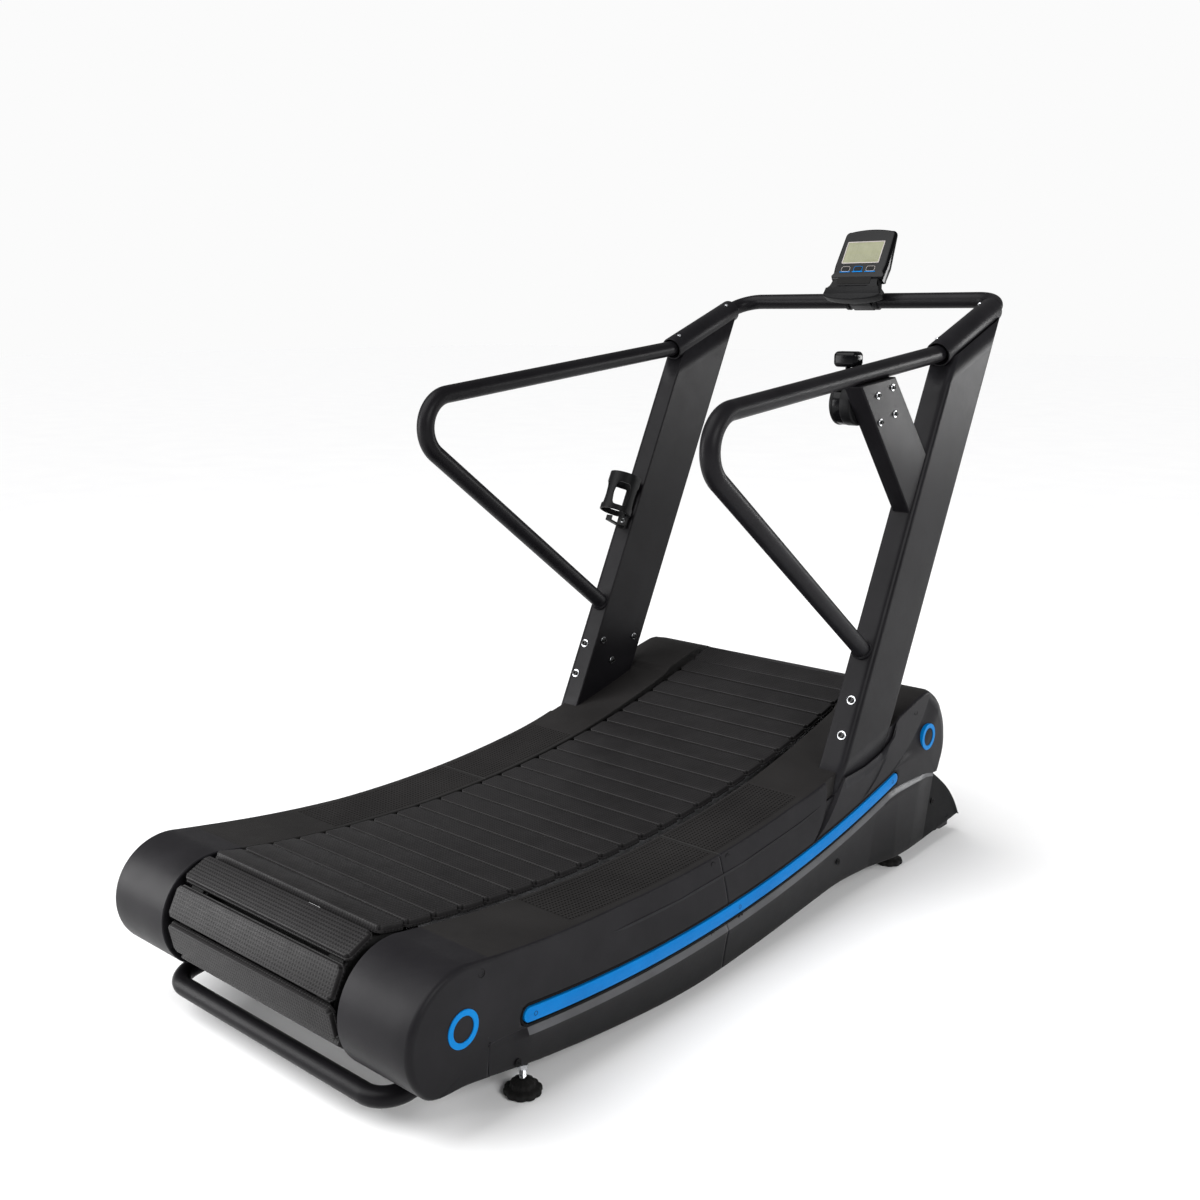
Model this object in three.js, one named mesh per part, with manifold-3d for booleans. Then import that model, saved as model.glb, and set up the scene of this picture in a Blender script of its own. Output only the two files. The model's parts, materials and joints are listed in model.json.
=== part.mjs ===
// Curved manual treadmill, drawn in millimetres: +X is the runner's right, +Y runs forward to the console, +Z is up.
// y = 0 lies near the rear drum while the pieces are drawn; the exported group puts the middle of the length there.
import * as THREE from "three";
import { mergeVertices } from "three/addons/utils/BufferGeometryUtils.js";
import Module from "manifold-3d";

const wasm = await Module();
wasm.setup();

// ---------------------------------------------------------------- driving dimensions
const GAP = 0.4; // clearance between pieces that touch
const TUBE_SIDES = 12;

const RUN = { y: 620, z: 3256, radius: 3000 }; // the running surface is an arc about this centre
const SLAT = { count: 59, length: 450, thickness: 13, gap: 4 };
const BAND = { thickness: 4, width: 34, x: 192 }; // the two carrier belts under the slats
const WRAP_RADIUS = 90.4; // neutral line of the carrier belt round a drum
const REAR_DRUM_Y = 66;
const FRONT_DRUM_Y = 1540;
const FIRST_GAP_ANGLE = rad(9.63); // first gap of the top run, behind the lowest point of the arc
const TOP_SLATS = 23;
const WRAP_SLATS = 6;

const DRUM = { radius: 87.5, land: 46, waist: 62, bore: 52, half: 214, web: 8 };
const AXLE = { radius: 12.3, fit: 0.3 };
const BEARING = { inner: 250, outer: 274, half: 44, below: 50, above: 38 };
const SHELF_WEB = { inner: 278, outer: 284 };
const FLYWHEEL = { radius: 88, inner: 300, outer: 324, hub: 30 };

const RAIL = { inner: 348, outer: 398, top: 3044, bottom: 3116, wall: 3, rear: 24, front: 1580 };
const TRACK = { inner: 178, outer: 206, top: 3020, bottom: 3045, rollers: 16, roller: 12, behind: 92, before: 118 };
const FOOT = { x: 370, rear: 229, front: 1447, pad: 35, pad_height: 25, stud: 6, stud_top: 124, nut: 50, leg: 72 };
const CROSS_TUBE = { rear: [320, 195], front: [1240, 244], half: 25, wall: 3 };
const FOOT_TUBE = { half: 15, wall: 3, rear: 66, front: 80 };
const WHEEL = { y: 1668, z: 46, radius: 34, inner: 352, outer: 380, pin: 6 };

const COVER = { inner: 243, flank: 408, wall: 3, bevel: 20, draft: 12, end: 106, seam: 745 };
const LEDGE_RADIUS = 3007; // the side ledges lie just under the slats
const STRIPE = { radius: 3120, half: 12.5, from: 195, to: 1395, thickness: 3 };
const RING = { outer: 31, inner: 21, thickness: 2.4 };

const POST = { inner: 345, outer: 402, lean: rad(26.2), foot_y: 1170, foot_z: 318, depth: 166, wall: 3 };
const SLEEVE = { x: 370, rear: [1559, 1158], front: [1814, 1254], radius: 28.5, bore: 25, grip: 19.4, mouth: 45 };
const HANDLE = { radius: 19, wall: 2.5, knee: [603.6, 1059.3], bend: 70, end: [1292, 533] };
const CROSSBAR = { y: 1878.5, z: 1278, bend: 60 };
const BRACKET = { inner: 353, outer: 395, wall: 2.5 };
const LEVER = { y: 1262, z: 1064, x: 320, housing: 45, arm: 84 };
const YOKE = { y: 1398, z: 262 };
const CONSOLE = { width: 150, offset: 68, tilt: rad(30), low: 22, high: 160, thick: 28, thin: 11 };
const LCD = { width: 108, low: 66, high: 129 };
const BUTTON = { pitch: 38, v: 47, width: 26, height: 13 };
const CAGE = { x: -371, z: 717, height: 124, radius: 37, wall: 3 };
const LIFT_BAR = { radius: 17, z: 60, arm_x: 300, bend: 50, end: [FOOT.rear - 17, 81] };

const PAINT = { color: 0x17171a, roughness: 0.42, metalness: 0.35 };
const SHELL = { color: 0x1b1b1e, roughness: 0.4, metalness: 0.1 };
const RUBBER = { color: 0x151515, roughness: 0.85, metalness: 0 };
const STEEL = { color: 0xb9bcc0, roughness: 0.3, metalness: 1 };
const BLUE = { color: 0x0a86d8, roughness: 0.35, metalness: 0 };
const GREY_STEEL = { color: 0x5c5f63, roughness: 0.5, metalness: 0.9 };
const SCREEN = { color: 0x6b6f58, roughness: 0.15, metalness: 0 };

// ---------------------------------------------------------------- helpers
function rad(degrees) {
  return (degrees * Math.PI) / 180;
}

function solid(geometry) {
  const bare = geometry.clone();
  bare.deleteAttribute("normal");
  bare.deleteAttribute("uv");
  const merged = mergeVertices(bare, 1e-4);
  const vertProperties = Float32Array.from(merged.attributes.position.array);
  const triVerts = Uint32Array.from(merged.index.array);
  const made = new wasm.Manifold(new wasm.Mesh({ numProp: 3, vertProperties, triVerts }));
  if (made.volume() > 0) return made;
  for (let i = 0; i < triVerts.length; i += 3) {
    [triVerts[i + 1], triVerts[i + 2]] = [triVerts[i + 2], triVerts[i + 1]];
  }
  return new wasm.Manifold(new wasm.Mesh({ numProp: 3, vertProperties, triVerts }));
}

function geometryOf(manifold) {
  const { numProp, vertProperties, triVerts } = manifold.getMesh();
  const position = new Float32Array((vertProperties.length / numProp) * 3);
  for (let i = 0; i < position.length / 3; i++) {
    position.set(vertProperties.subarray(i * numProp, i * numProp + 3), i * 3);
  }
  const geometry = new THREE.BufferGeometry();
  geometry.setAttribute("position", new THREE.BufferAttribute(position, 3));
  geometry.setIndex(new THREE.BufferAttribute(Uint32Array.from(triVerts), 1));
  geometry.computeVertexNormals();
  return geometry;
}

function join(first, ...others) {
  return others.reduce((all, next) => all.add(next), first);
}

function cut(body, ...tools) {
  return tools.reduce((left, tool) => left.subtract(tool), body);
}

// A side outline, [[y, z], ...], extruded from x0 to x1.
const SIDE_VIEW = new THREE.Matrix4().makeBasis(
  new THREE.Vector3(0, 1, 0),
  new THREE.Vector3(0, 0, 1),
  new THREE.Vector3(1, 0, 0),
);
function slab(outline, x0, x1, bevel = {}) {
  const shape = new THREE.Shape(outline.map(([y, z]) => new THREE.Vector2(y, z)));
  const { thickness = 0, size = 0 } = bevel;
  const geometry = new THREE.ExtrudeGeometry(shape, {
    depth: x1 - x0 - 2 * thickness,
    bevelEnabled: thickness > 0,
    bevelThickness: thickness,
    bevelSize: size,
    bevelOffset: -size,
    bevelSegments: 2,
  });
  return solid(geometry.translate(0, 0, thickness).applyMatrix4(SIDE_VIEW).translate(x0, 0, 0));
}

function block(x0, x1, y0, y1, z0, z1) {
  const box = new THREE.BoxGeometry(x1 - x0, y1 - y0, z1 - z0);
  return solid(box.translate((x0 + x1) / 2, (y0 + y1) / 2, (z0 + z1) / 2));
}

// A round bar along X.
function rod(radius, x0, x1, y, z, sides = 16) {
  const bar = new THREE.CylinderGeometry(radius, radius, x1 - x0, sides);
  return solid(bar.rotateZ(Math.PI / 2).translate((x0 + x1) / 2, y, z));
}

// A round bar along Z.
function pillar(radius, x, y, z0, z1, sides = 16) {
  const bar = new THREE.CylinderGeometry(radius, radius, z1 - z0, sides);
  return solid(bar.rotateX(Math.PI / 2).translate(x, y, (z0 + z1) / 2));
}

// A turned piece: a closed profile [[radius, along], ...] about the Z axis, before it is placed.
function turned(profile, sides = 24) {
  const points = [...profile, profile[0]].map(([r, along]) => new THREE.Vector2(r, along));
  return new THREE.LatheGeometry(points, sides).rotateX(Math.PI / 2);
}

function circleOutline(y, z, radius, from, to, steps) {
  return Array.from({ length: steps + 1 }, (_, i) => {
    const angle = from + ((to - from) * i) / steps;
    return [y + radius * Math.cos(angle), z + radius * Math.sin(angle)];
  });
}

// A route with rounded corners: straight lines between the corners, an arc of its radius at each inner one.
class Route extends THREE.Curve {
  constructor(corners, radii, stepAngle = rad(20)) {
    super();
    this.points = [corners[0]];
    for (let i = 1; i < corners.length - 1; i++) {
      const back = corners[i - 1].clone().sub(corners[i]).normalize();
      const ahead = corners[i + 1].clone().sub(corners[i]).normalize();
      const turn = Math.PI - back.angleTo(ahead);
      const radius = radii[i - 1];
      const middle = back.clone().add(ahead).normalize();
      const centre = corners[i].clone().addScaledVector(middle, radius / Math.cos(turn / 2));
      const start = corners[i].clone().addScaledVector(back, radius * Math.tan(turn / 2));
      const spoke = start.clone().sub(centre);
      const axis = ahead.clone().cross(back).normalize();
      const steps = Math.max(2, Math.ceil(turn / stepAngle));
      for (let k = 0; k <= steps; k++) {
        this.points.push(centre.clone().add(spoke.clone().applyAxisAngle(axis, (turn * k) / steps)));
      }
    }
    this.points.push(corners[corners.length - 1]);
  }
  get steps() {
    return this.points.length - 1;
  }
  getPoint(t, target = new THREE.Vector3()) {
    const place = t * this.steps;
    const i = Math.min(Math.floor(place), this.steps - 1);
    return target.copy(this.points[i]).lerp(this.points[i + 1], place - i);
  }
  getPointAt(t, target) {
    return this.getPoint(t, target);
  }
  getTangent(t, target = new THREE.Vector3()) {
    const i = Math.round(t * this.steps);
    const before = this.points[Math.max(i - 1, 0)];
    const here = this.points[i];
    const after = this.points[Math.min(i + 1, this.steps)];
    const arriving = here.clone().sub(before).normalize();
    const leaving = after.clone().sub(here).normalize();
    return target.copy(arriving.add(leaving).normalize());
  }
  getTangentAt(t, target) {
    return this.getTangent(t, target);
  }
}

function tube(route, radius, wall, sides = TUBE_SIDES) {
  const section = new THREE.Shape();
  section.absarc(0, 0, radius, 0, 2 * Math.PI, false);
  if (wall) {
    const hole = new THREE.Path();
    hole.absarc(0, 0, radius - wall, 0, 2 * Math.PI, true);
    section.holes.push(hole);
  }
  const curveSegments = sides / 2;
  return solid(new THREE.ExtrudeGeometry(section, { steps: route.steps, curveSegments, extrudePath: route }));
}

const pieces = new THREE.Group();
function add(name, body, look) {
  const material = new THREE.MeshStandardMaterial(look);
  const mesh = new THREE.Mesh(body.isBufferGeometry ? body : geometryOf(body), material);
  mesh.name = name;
  pieces.add(mesh);
}

// Adds a right-hand piece and its mirror image.
function addPair(name, body, look) {
  add("right_" + name, body, look);
  add("left_" + name, mirrored(body), look);
}

function mirrored(body) {
  return solid(geometryOf(body).scale(-1, 1, 1));
}

// ---------------------------------------------------------------- the belt loop
const NEUTRAL = RUN.radius + SLAT.thickness + BAND.thickness / 2;
const AXIS_DISTANCE = NEUTRAL + WRAP_RADIUS;
function drumAxis(y) {
  return { y, z: RUN.z - Math.sqrt(AXIS_DISTANCE ** 2 - (y - RUN.y) ** 2) };
}
const REAR = drumAxis(REAR_DRUM_Y);
const FRONT = drumAxis(FRONT_DRUM_Y);
const REAR_TANGENT = Math.asin((RUN.y - REAR.y) / AXIS_DISTANCE);
const FRONT_TANGENT = Math.asin((FRONT.y - RUN.y) / AXIS_DISTANCE);
const RETURN_SLOPE = Math.atan2(FRONT.z - REAR.z, FRONT.y - REAR.y);
const RETURN_LENGTH = Math.hypot(FRONT.z - REAR.z, FRONT.y - REAR.y);
const TOP_LENGTH = NEUTRAL * (REAR_TANGENT + FRONT_TANGENT);
const WRAP_ANGLE = Math.PI + REAR_TANGENT + RETURN_SLOPE;
const FRONT_WRAP_ANGLE = Math.PI + FRONT_TANGENT - RETURN_SLOPE;
const LOOP = TOP_LENGTH + RETURN_LENGTH + WRAP_RADIUS * (WRAP_ANGLE + FRONT_WRAP_ANGLE);
const PITCH = LOOP / SLAT.count;
const SLAT_WIDTH = (PITCH * RUN.radius) / NEUTRAL - SLAT.gap;

// A slat's section about its own middle: x along the belt, y outwards from the carrier belt.
function slatSection() {
  const half = SLAT_WIDTH / 2;
  const low = BAND.thickness / 2;
  const high = low + SLAT.thickness;
  return [[-half, low], [half, low], [half, high], [-half, high]];
}

// One slat and its two clips of carrier belt, placed with its middle at (y, z) and its outside towards angle.
function slatAt(y, z, outward) {
  const cos = Math.cos(outward - Math.PI / 2);
  const sin = Math.sin(outward - Math.PI / 2);
  const place = ([along, out]) => [y + along * cos - out * sin, z + along * sin + out * cos];
  return slab(slatSection().map(place), -SLAT.length / 2, SLAT.length / 2);
}

// A length of both carrier belts, between radii about a centre, from one angle to another.
function bandArc(centre, radius, from, to, steps, inwards) {
  const half = BAND.thickness / 2;
  const outer = circleOutline(centre.y, centre.z, radius + (inwards ? -half - 1 : half + 1), from, to, steps);
  const inner = circleOutline(centre.y, centre.z, radius + (inwards ? half : -half), to, from, steps);
  return bothBands([...outer, ...inner]);
}

function bothBands(outline) {
  const right = slab(outline, BAND.x - BAND.width / 2, BAND.x + BAND.width / 2);
  return join(right, mirrored(right));
}

function topRun() {
  const angleOf = (slats) => -FIRST_GAP_ANGLE + (slats * PITCH) / NEUTRAL - Math.PI / 2;
  const slats = Array.from({ length: TOP_SLATS }, (_, i) => {
    const angle = angleOf(i + 0.5);
    const y = RUN.y + NEUTRAL * Math.cos(angle);
    const z = RUN.z + NEUTRAL * Math.sin(angle);
    return slatAt(y, z, angle + Math.PI);
  });
  const trim = SLAT.gap / 2 / NEUTRAL;
  const band = bandArc(RUN, NEUTRAL, angleOf(0) + trim, angleOf(TOP_SLATS) - trim, TOP_SLATS, true);
  return join(band, ...slats);
}

// The slats round one drum, from the middle of the first, at angle, in steps of one pitch.
function wrapRun(drum, firstAngle, direction) {
  const step = (direction * PITCH) / WRAP_RADIUS;
  const slats = Array.from({ length: WRAP_SLATS }, (_, i) => {
    const angle = firstAngle + step * i;
    return slatAt(drum.y + WRAP_RADIUS * Math.cos(angle), drum.z + WRAP_RADIUS * Math.sin(angle), angle);
  });
  const end = (direction * (PITCH - SLAT.gap)) / 2 / WRAP_RADIUS;
  const from = firstAngle - end;
  const to = firstAngle + step * (WRAP_SLATS - 1) + end;
  const band = bandArc(drum, WRAP_RADIUS, from, to, WRAP_SLATS * 4, false);
  return join(band, ...slats);
}

const REAR_FIRST = NEUTRAL * (REAR_TANGENT - FIRST_GAP_ANGLE) - PITCH / 2; // past the tangent point, along the belt
const FRONT_FIRST = NEUTRAL * (FRONT_TANGENT + FIRST_GAP_ANGLE) - (TOP_SLATS + 0.5) * PITCH;
const REAR_START = Math.PI / 2 - REAR_TANGENT - REAR_FIRST / WRAP_RADIUS;
const FRONT_START = Math.PI / 2 + FRONT_TANGENT + FRONT_FIRST / WRAP_RADIUS;

function returnRun() {
  const rearAngle = REAR_START + ((WRAP_SLATS - 1) * PITCH) / WRAP_RADIUS;
  const lead = WRAP_RADIUS * ((3 * Math.PI) / 2 + RETURN_SLOPE - rearAngle); // last wrapped slat to the straight
  const down = RETURN_SLOPE - Math.PI / 2;
  const start = { y: REAR.y + WRAP_RADIUS * Math.cos(down), z: REAR.z + WRAP_RADIUS * Math.sin(down) };
  const count = SLAT.count - TOP_SLATS - 2 * WRAP_SLATS;
  const at = (along, out = 0) => [
    start.y + along * Math.cos(RETURN_SLOPE) + out * Math.cos(down),
    start.z + along * Math.sin(RETURN_SLOPE) + out * Math.sin(down),
  ];
  const slats = Array.from({ length: count }, (_, i) => slatAt(...at(PITCH * (i + 1) - lead), down));
  const half = BAND.thickness / 2;
  const from = PITCH / 2 - lead + SLAT.gap / 2;
  const to = PITCH * (count + 0.5) - lead - SLAT.gap / 2;
  return join(bothBands([at(from, half + 1), at(to, half + 1), at(to, -half), at(from, -half)]), ...slats);
}

// ---------------------------------------------------------------- running gear
function drum(axis) {
  const { radius, land, waist, bore, half, web } = DRUM;
  const hole = AXLE.radius + AXLE.fit;
  const shell = [[hole, -half], [radius, -half], [radius, land - half], [waist, land - half + 12],
    [waist, half - land - 12], [radius, half - land], [radius, half], [hole, half], [hole, half - web],
    [bore, half - web], [bore, web - half], [hole, web - half]];
  return solid(turned(shell, 24).rotateY(Math.PI / 2).translate(0, axis.y, axis.z));
}

function flywheel() {
  const { radius, inner, outer, hub } = FLYWHEEL;
  const hole = AXLE.radius + AXLE.fit;
  const middle = (inner + outer) / 2;
  const profile = [[hole, inner], [hub, inner], [hub + 4, middle - 4], [radius - 24, middle - 4],
    [radius - 20, inner + 2], [radius, inner + 2], [radius, outer - 2], [radius - 20, outer - 2],
    [radius - 24, middle + 4], [hub + 4, middle + 4], [hub, outer], [hole, outer]];
  return solid(turned(profile, 24).rotateY(Math.PI / 2).translate(0, FRONT.y, FRONT.z));
}

function bearingBlock(axis) {
  const { inner, outer, half, below, above } = BEARING;
  const outline = [[axis.y - half, axis.z - below], [axis.y + half, axis.z - below],
    [axis.y + half, axis.z - below + 16], [axis.y + above * 0.8, axis.z + above * 0.5],
    [axis.y + above * 0.4, axis.z + above], [axis.y - above * 0.4, axis.z + above],
    [axis.y - above * 0.8, axis.z + above * 0.5], [axis.y - half, axis.z - below + 16]];
  return cut(slab(outline, inner, outer), rod(AXLE.radius + AXLE.fit, inner - 1, outer + 1, axis.y, axis.z));
}

// The bracket that carries a bearing block: a shelf under it, a web beside it and a tie out to the rail at tieY.
function bearingShelf(axis, tieY) {
  const { half, inner, below } = BEARING;
  const low = axis.z - below - GAP;
  const ends = [axis.y - half, axis.y + half, tieY - 4, tieY + 4];
  const shelf = block(inner, SHELF_WEB.outer, axis.y - half, axis.y + half, low - 8, low);
  const web = block(SHELF_WEB.inner, SHELF_WEB.outer, Math.min(...ends), Math.max(...ends), low - 8, low + 34);
  return join(shelf, web, block(SHELF_WEB.inner, RAIL.inner + 1, tieY - 4, tieY + 4, low - 8, low + 34));
}

function rollerTrack() {
  const from = Math.asin((REAR_DRUM_Y + TRACK.behind - RUN.y) / TRACK.top) - Math.PI / 2;
  const to = Math.asin((FRONT_DRUM_Y - TRACK.before - RUN.y) / TRACK.top) - Math.PI / 2;
  const upper = circleOutline(RUN.y, RUN.z, TRACK.top, from, to, 16);
  const lower = circleOutline(RUN.y, RUN.z, TRACK.bottom, to, from, 16);
  const centre = NEUTRAL + BAND.thickness / 2 + GAP + TRACK.roller;
  const rollers = Array.from({ length: TRACK.rollers }, (_, i) => {
    const angle = from + ((to - from) * (i + 0.5)) / TRACK.rollers;
    const y = RUN.y + centre * Math.cos(angle);
    const z = RUN.z + centre * Math.sin(angle);
    return rod(TRACK.roller, TRACK.inner + 2, TRACK.outer - 2, y, z, 8);
  });
  return join(slab([...upper, ...lower], TRACK.inner, TRACK.outer), ...rollers);
}

// ---------------------------------------------------------------- frame
function railBand(shrink, from, to) {
  const top = circleOutline(RUN.y, RUN.z, RAIL.top + shrink, from, to, 8);
  const bottom = circleOutline(RUN.y, RUN.z, RAIL.bottom - shrink, to, from, 8);
  return slab([...top, ...bottom], RAIL.inner + shrink, RAIL.outer - shrink);
}

function sideRail() {
  const from = Math.asin((RAIL.rear - RUN.y) / RAIL.top) - Math.PI / 2;
  const to = Math.asin((RAIL.front - RUN.y) / RAIL.top) - Math.PI / 2;
  const margin = 0.01;
  const hollow = railBand(RAIL.wall, from - margin, to + margin);
  const leg = (y, top) => block(RAIL.inner, RAIL.outer, y - 22, y + 22, FOOT.leg, top);
  const stud = (y) => pillar(FOOT.stud + AXLE.fit, FOOT.x, y, FOOT.leg - 1, FOOT.stud_top + 14, 16);
  const arm = slab([[FOOT.front, FOOT.leg], [FOOT.front + 60, FOOT.leg], [WHEEL.y - 20, 28],
    [WHEEL.y + 18, 28], [WHEEL.y + 22, 74], [FOOT.front + 80, 136], [FOOT.front, 136]], WHEEL.outer + 3, RAIL.outer);
  const body = join(railBand(0, from, to).subtract(hollow), leg(FOOT.rear, 200), leg(FOOT.front, 262), arm,
    bearingShelf(REAR, REAR.y + 60), bearingShelf(FRONT, YOKE.y - 24), postStub());
  const pin = rod(WHEEL.pin + AXLE.fit, WHEEL.outer, RAIL.outer + 1, WHEEL.y, WHEEL.z, 16);
  return cut(body, stud(FOOT.rear), stud(FOOT.front), pin);
}

// ---------------------------------------------------------------- posts
// The post's own axes: across X, deep along the normal of its rear face, long along the lean.
const POST_UP = new THREE.Vector3(0, Math.sin(POST.lean), Math.cos(POST.lean));
const POST_DEEP = new THREE.Vector3(0, Math.cos(POST.lean), -Math.sin(POST.lean));
function postPlace(x = 0) {
  const frame = new THREE.Matrix4().makeBasis(new THREE.Vector3(1, 0, 0), POST_DEEP.clone().negate(), POST_UP);
  frame.setPosition(x, POST.foot_y, POST.foot_z);
  return frame;
}

// A bar along the post, of a section given as x and depth behind the rear face line.
function postBar(inset, from, to) {
  const corner = 14 - inset / 2;
  const x0 = POST.inner + inset;
  const x1 = POST.outer - inset;
  const d0 = -inset;
  const d1 = -POST.depth + inset;
  const shape = new THREE.Shape();
  shape.moveTo(x0, d1);
  shape.lineTo(x1 - corner, d1);
  shape.absarc(x1 - corner, d1 + corner, corner, -Math.PI / 2, 0, false);
  shape.lineTo(x1, d0 - corner);
  shape.absarc(x1 - corner, d0 - corner, corner, 0, Math.PI / 2, false);
  shape.lineTo(x0, d0);
  const geometry = new THREE.ExtrudeGeometry(shape, { depth: to - from, bevelEnabled: false, curveSegments: 4 });
  return solid(geometry.translate(0, 0, from).applyMatrix4(postPlace()));
}

function sleeveAxis() {
  const [y0, z0] = SLEEVE.rear;
  const [y1, z1] = SLEEVE.front;
  return { start: new THREE.Vector3(SLEEVE.x, y0, z0), end: new THREE.Vector3(SLEEVE.x, y1, z1) };
}

// A turned piece with its axis along the sleeve, counted from the sleeve's rear end.
function alongSleeve(geometry) {
  const { start, end } = sleeveAxis();
  const turn = new THREE.Quaternion().setFromUnitVectors(new THREE.Vector3(0, 0, 1), end.clone().sub(start).normalize());
  return solid(geometry.applyQuaternion(turn).translate(start.x, start.y, start.z));
}

function sleeve() {
  const { start, end } = sleeveAxis();
  const length = end.distanceTo(start);
  const { radius, bore, grip, mouth } = SLEEVE;
  return alongSleeve(turned([[bore, 0], [radius, 0], [radius, length], [bore, length], [bore, length - mouth],
    [grip, length - mouth], [grip, mouth], [bore, mouth]], 20));
}

function post() {
  const shell = postBar(0, -110, 1060).subtract(postBar(POST.wall, -120, 1070));
  const saddle = alongSleeve(turned([[0, -200], [SLEEVE.radius + GAP, -200], [SLEEVE.radius + GAP, 500], [0, 500]], 20));
  const [y0, z0] = SLEEVE.rear;
  const [y1, z1] = SLEEVE.front;
  const slope = (z1 - z0) / (y1 - y0);
  const drop = 12;
  const above = slab([[y0 - 300, z0 - 300 * slope - drop], [y1 + 300, z1 + 300 * slope - drop],
    [y1 + 300, z1 + 500], [y0 - 300, z0 + 500]], POST.inner - 5, POST.outer + 5);
  return cut(shell, saddle, above, underRailTop(-GAP - 2));
}

// Everything below the top of the side rails, or that much lower.
function underRailTop(lower) {
  const arc = circleOutline(RUN.y, RUN.z, RAIL.top + lower, rad(-84), rad(-71), 8);
  return slab([...arc, [1600, 0], [900, 0]], POST.inner - 5, POST.outer + 5);
}

// The upright inside the foot of the post, which its bolts screw into.
function postStub() {
  const stub = postBar(POST.wall + 2, -150, 150);
  const hollow = postBar(POST.wall + 7, -160, 160);
  return cut(stub, hollow, underRailTop(30));
}

// ---------------------------------------------------------------- handles and bars
function vec(x, y, z) {
  return new THREE.Vector3(x, y, z);
}

function handle() {
  const { start, end } = sleeveAxis();
  const inside = start.clone().lerp(end, 0.42);
  const [ky, kz] = HANDLE.knee;
  const [ey, ez] = HANDLE.end;
  const route = new Route([inside, start.clone().lerp(end, 0.02), vec(SLEEVE.x, ky, kz),
    vec(SLEEVE.x, ey, ez)], [90, HANDLE.bend]);
  return cut(tube(route, HANDLE.radius, HANDLE.wall), postBar(-GAP, -110, 700));
}

function crossbar() {
  const { start, end } = sleeveAxis();
  const inside = start.clone().lerp(end, 0.58);
  const corner = vec(SLEEVE.x, CROSSBAR.y, CROSSBAR.z);
  const flip = (p) => vec(-p.x, p.y, p.z);
  const route = new Route([inside, corner, flip(corner), flip(inside)], [CROSSBAR.bend, CROSSBAR.bend]);
  return tube(route, HANDLE.radius, HANDLE.wall);
}

function liftBar() {
  const [ey, ez] = LIFT_BAR.end;
  const side = (x) => [vec(x, ey, ez), vec(x, 0, LIFT_BAR.z)];
  const corners = [...side(LIFT_BAR.arm_x), ...side(-LIFT_BAR.arm_x).reverse()];
  return tube(new Route(corners, [LIFT_BAR.bend, LIFT_BAR.bend]), LIFT_BAR.radius, HANDLE.wall, 12);
}

// ---------------------------------------------------------------- resistance control
function handleHeight(y) {
  const [ky, kz] = HANDLE.knee;
  const [sy, sz] = SLEEVE.rear;
  return kz + ((y - ky) * (sz - kz)) / (sy - ky);
}

function postRearY(z) {
  return POST.foot_y + (z - POST.foot_z) * Math.tan(POST.lean);
}

function resistanceBracket() {
  const top = (y) => handleHeight(y) - HANDLE.radius - 1;
  const rear = [1188, top(1188)];
  const front = [1328, top(1328)];
  const low = (z, past) => [postRearY(z) + past, z];
  const outer = slab([rear, low(822, 8), low(946, 8), front], BRACKET.inner, BRACKET.outer);
  const wall = BRACKET.wall;
  const inner = slab([[rear[0] + wall * 1.5, top(1188) + 5], low(822 + wall * 3, 40), low(946 - wall * 3, 40),
    [front[0] - wall * 1.5, top(1328) + 5]], BRACKET.inner + wall, BRACKET.outer - wall);
  return cut(outer, inner, postBar(-GAP, -110, 1060));
}

function leverHousing() {
  const x0 = BRACKET.inner - GAP - 50;
  const x1 = BRACKET.inner - GAP;
  const body = join(rod(LEVER.housing, x0, x1, LEVER.y, LEVER.z, 24),
    block(x0 + 8, x1, LEVER.y - 30, LEVER.y + 22, LEVER.z - 58, LEVER.z));
  const slot = slab([[LEVER.y, LEVER.z - 14], [LEVER.y + 60, LEVER.z + 36], [LEVER.y + 36, LEVER.z + 80],
    [LEVER.y - 36, LEVER.z + 80], [LEVER.y - 60, LEVER.z + 36]], LEVER.x - 5.5, LEVER.x + 5.5);
  const bore = rod(5.4, x0 - 1, LEVER.x + 12, LEVER.y, LEVER.z, 16);
  const hub = rod(15, LEVER.x - 5.5, LEVER.x + 5.5, LEVER.y, LEVER.z, 20);
  return cut(body, slot, bore, hub);
}

function leverArm() {
  const half = 5;
  const blade = slab([[LEVER.y - 9, LEVER.z], [LEVER.y + 9, LEVER.z], [LEVER.y + 6, LEVER.z + LEVER.arm],
    [LEVER.y - 6, LEVER.z + LEVER.arm]], LEVER.x - 3, LEVER.x + 3);
  return join(blade, rod(12, LEVER.x - half, LEVER.x + half, LEVER.y, LEVER.z, 20),
    rod(5, LEVER.x - 16, LEVER.x + 11, LEVER.y, LEVER.z, 16));
}

function leverKnob() {
  const low = LEVER.z + LEVER.arm - 24;
  const high = LEVER.z + LEVER.arm + 22;
  const outline = [[-18, low + 8], [-10, low], [10, low], [18, low + 8], [18, high - 9], [11, high],
    [-11, high], [-18, high - 9]].map(([y, z]) => [LEVER.y + y, z]);
  const body = slab(outline, LEVER.x - 27, LEVER.x + 27, { thickness: 8, size: 6 });
  const socket = block(LEVER.x - 3 - GAP, LEVER.x + 3 + GAP, LEVER.y - 9, LEVER.y + 9, low - 1, LEVER.z + LEVER.arm + GAP);
  return cut(body, socket);
}

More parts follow.
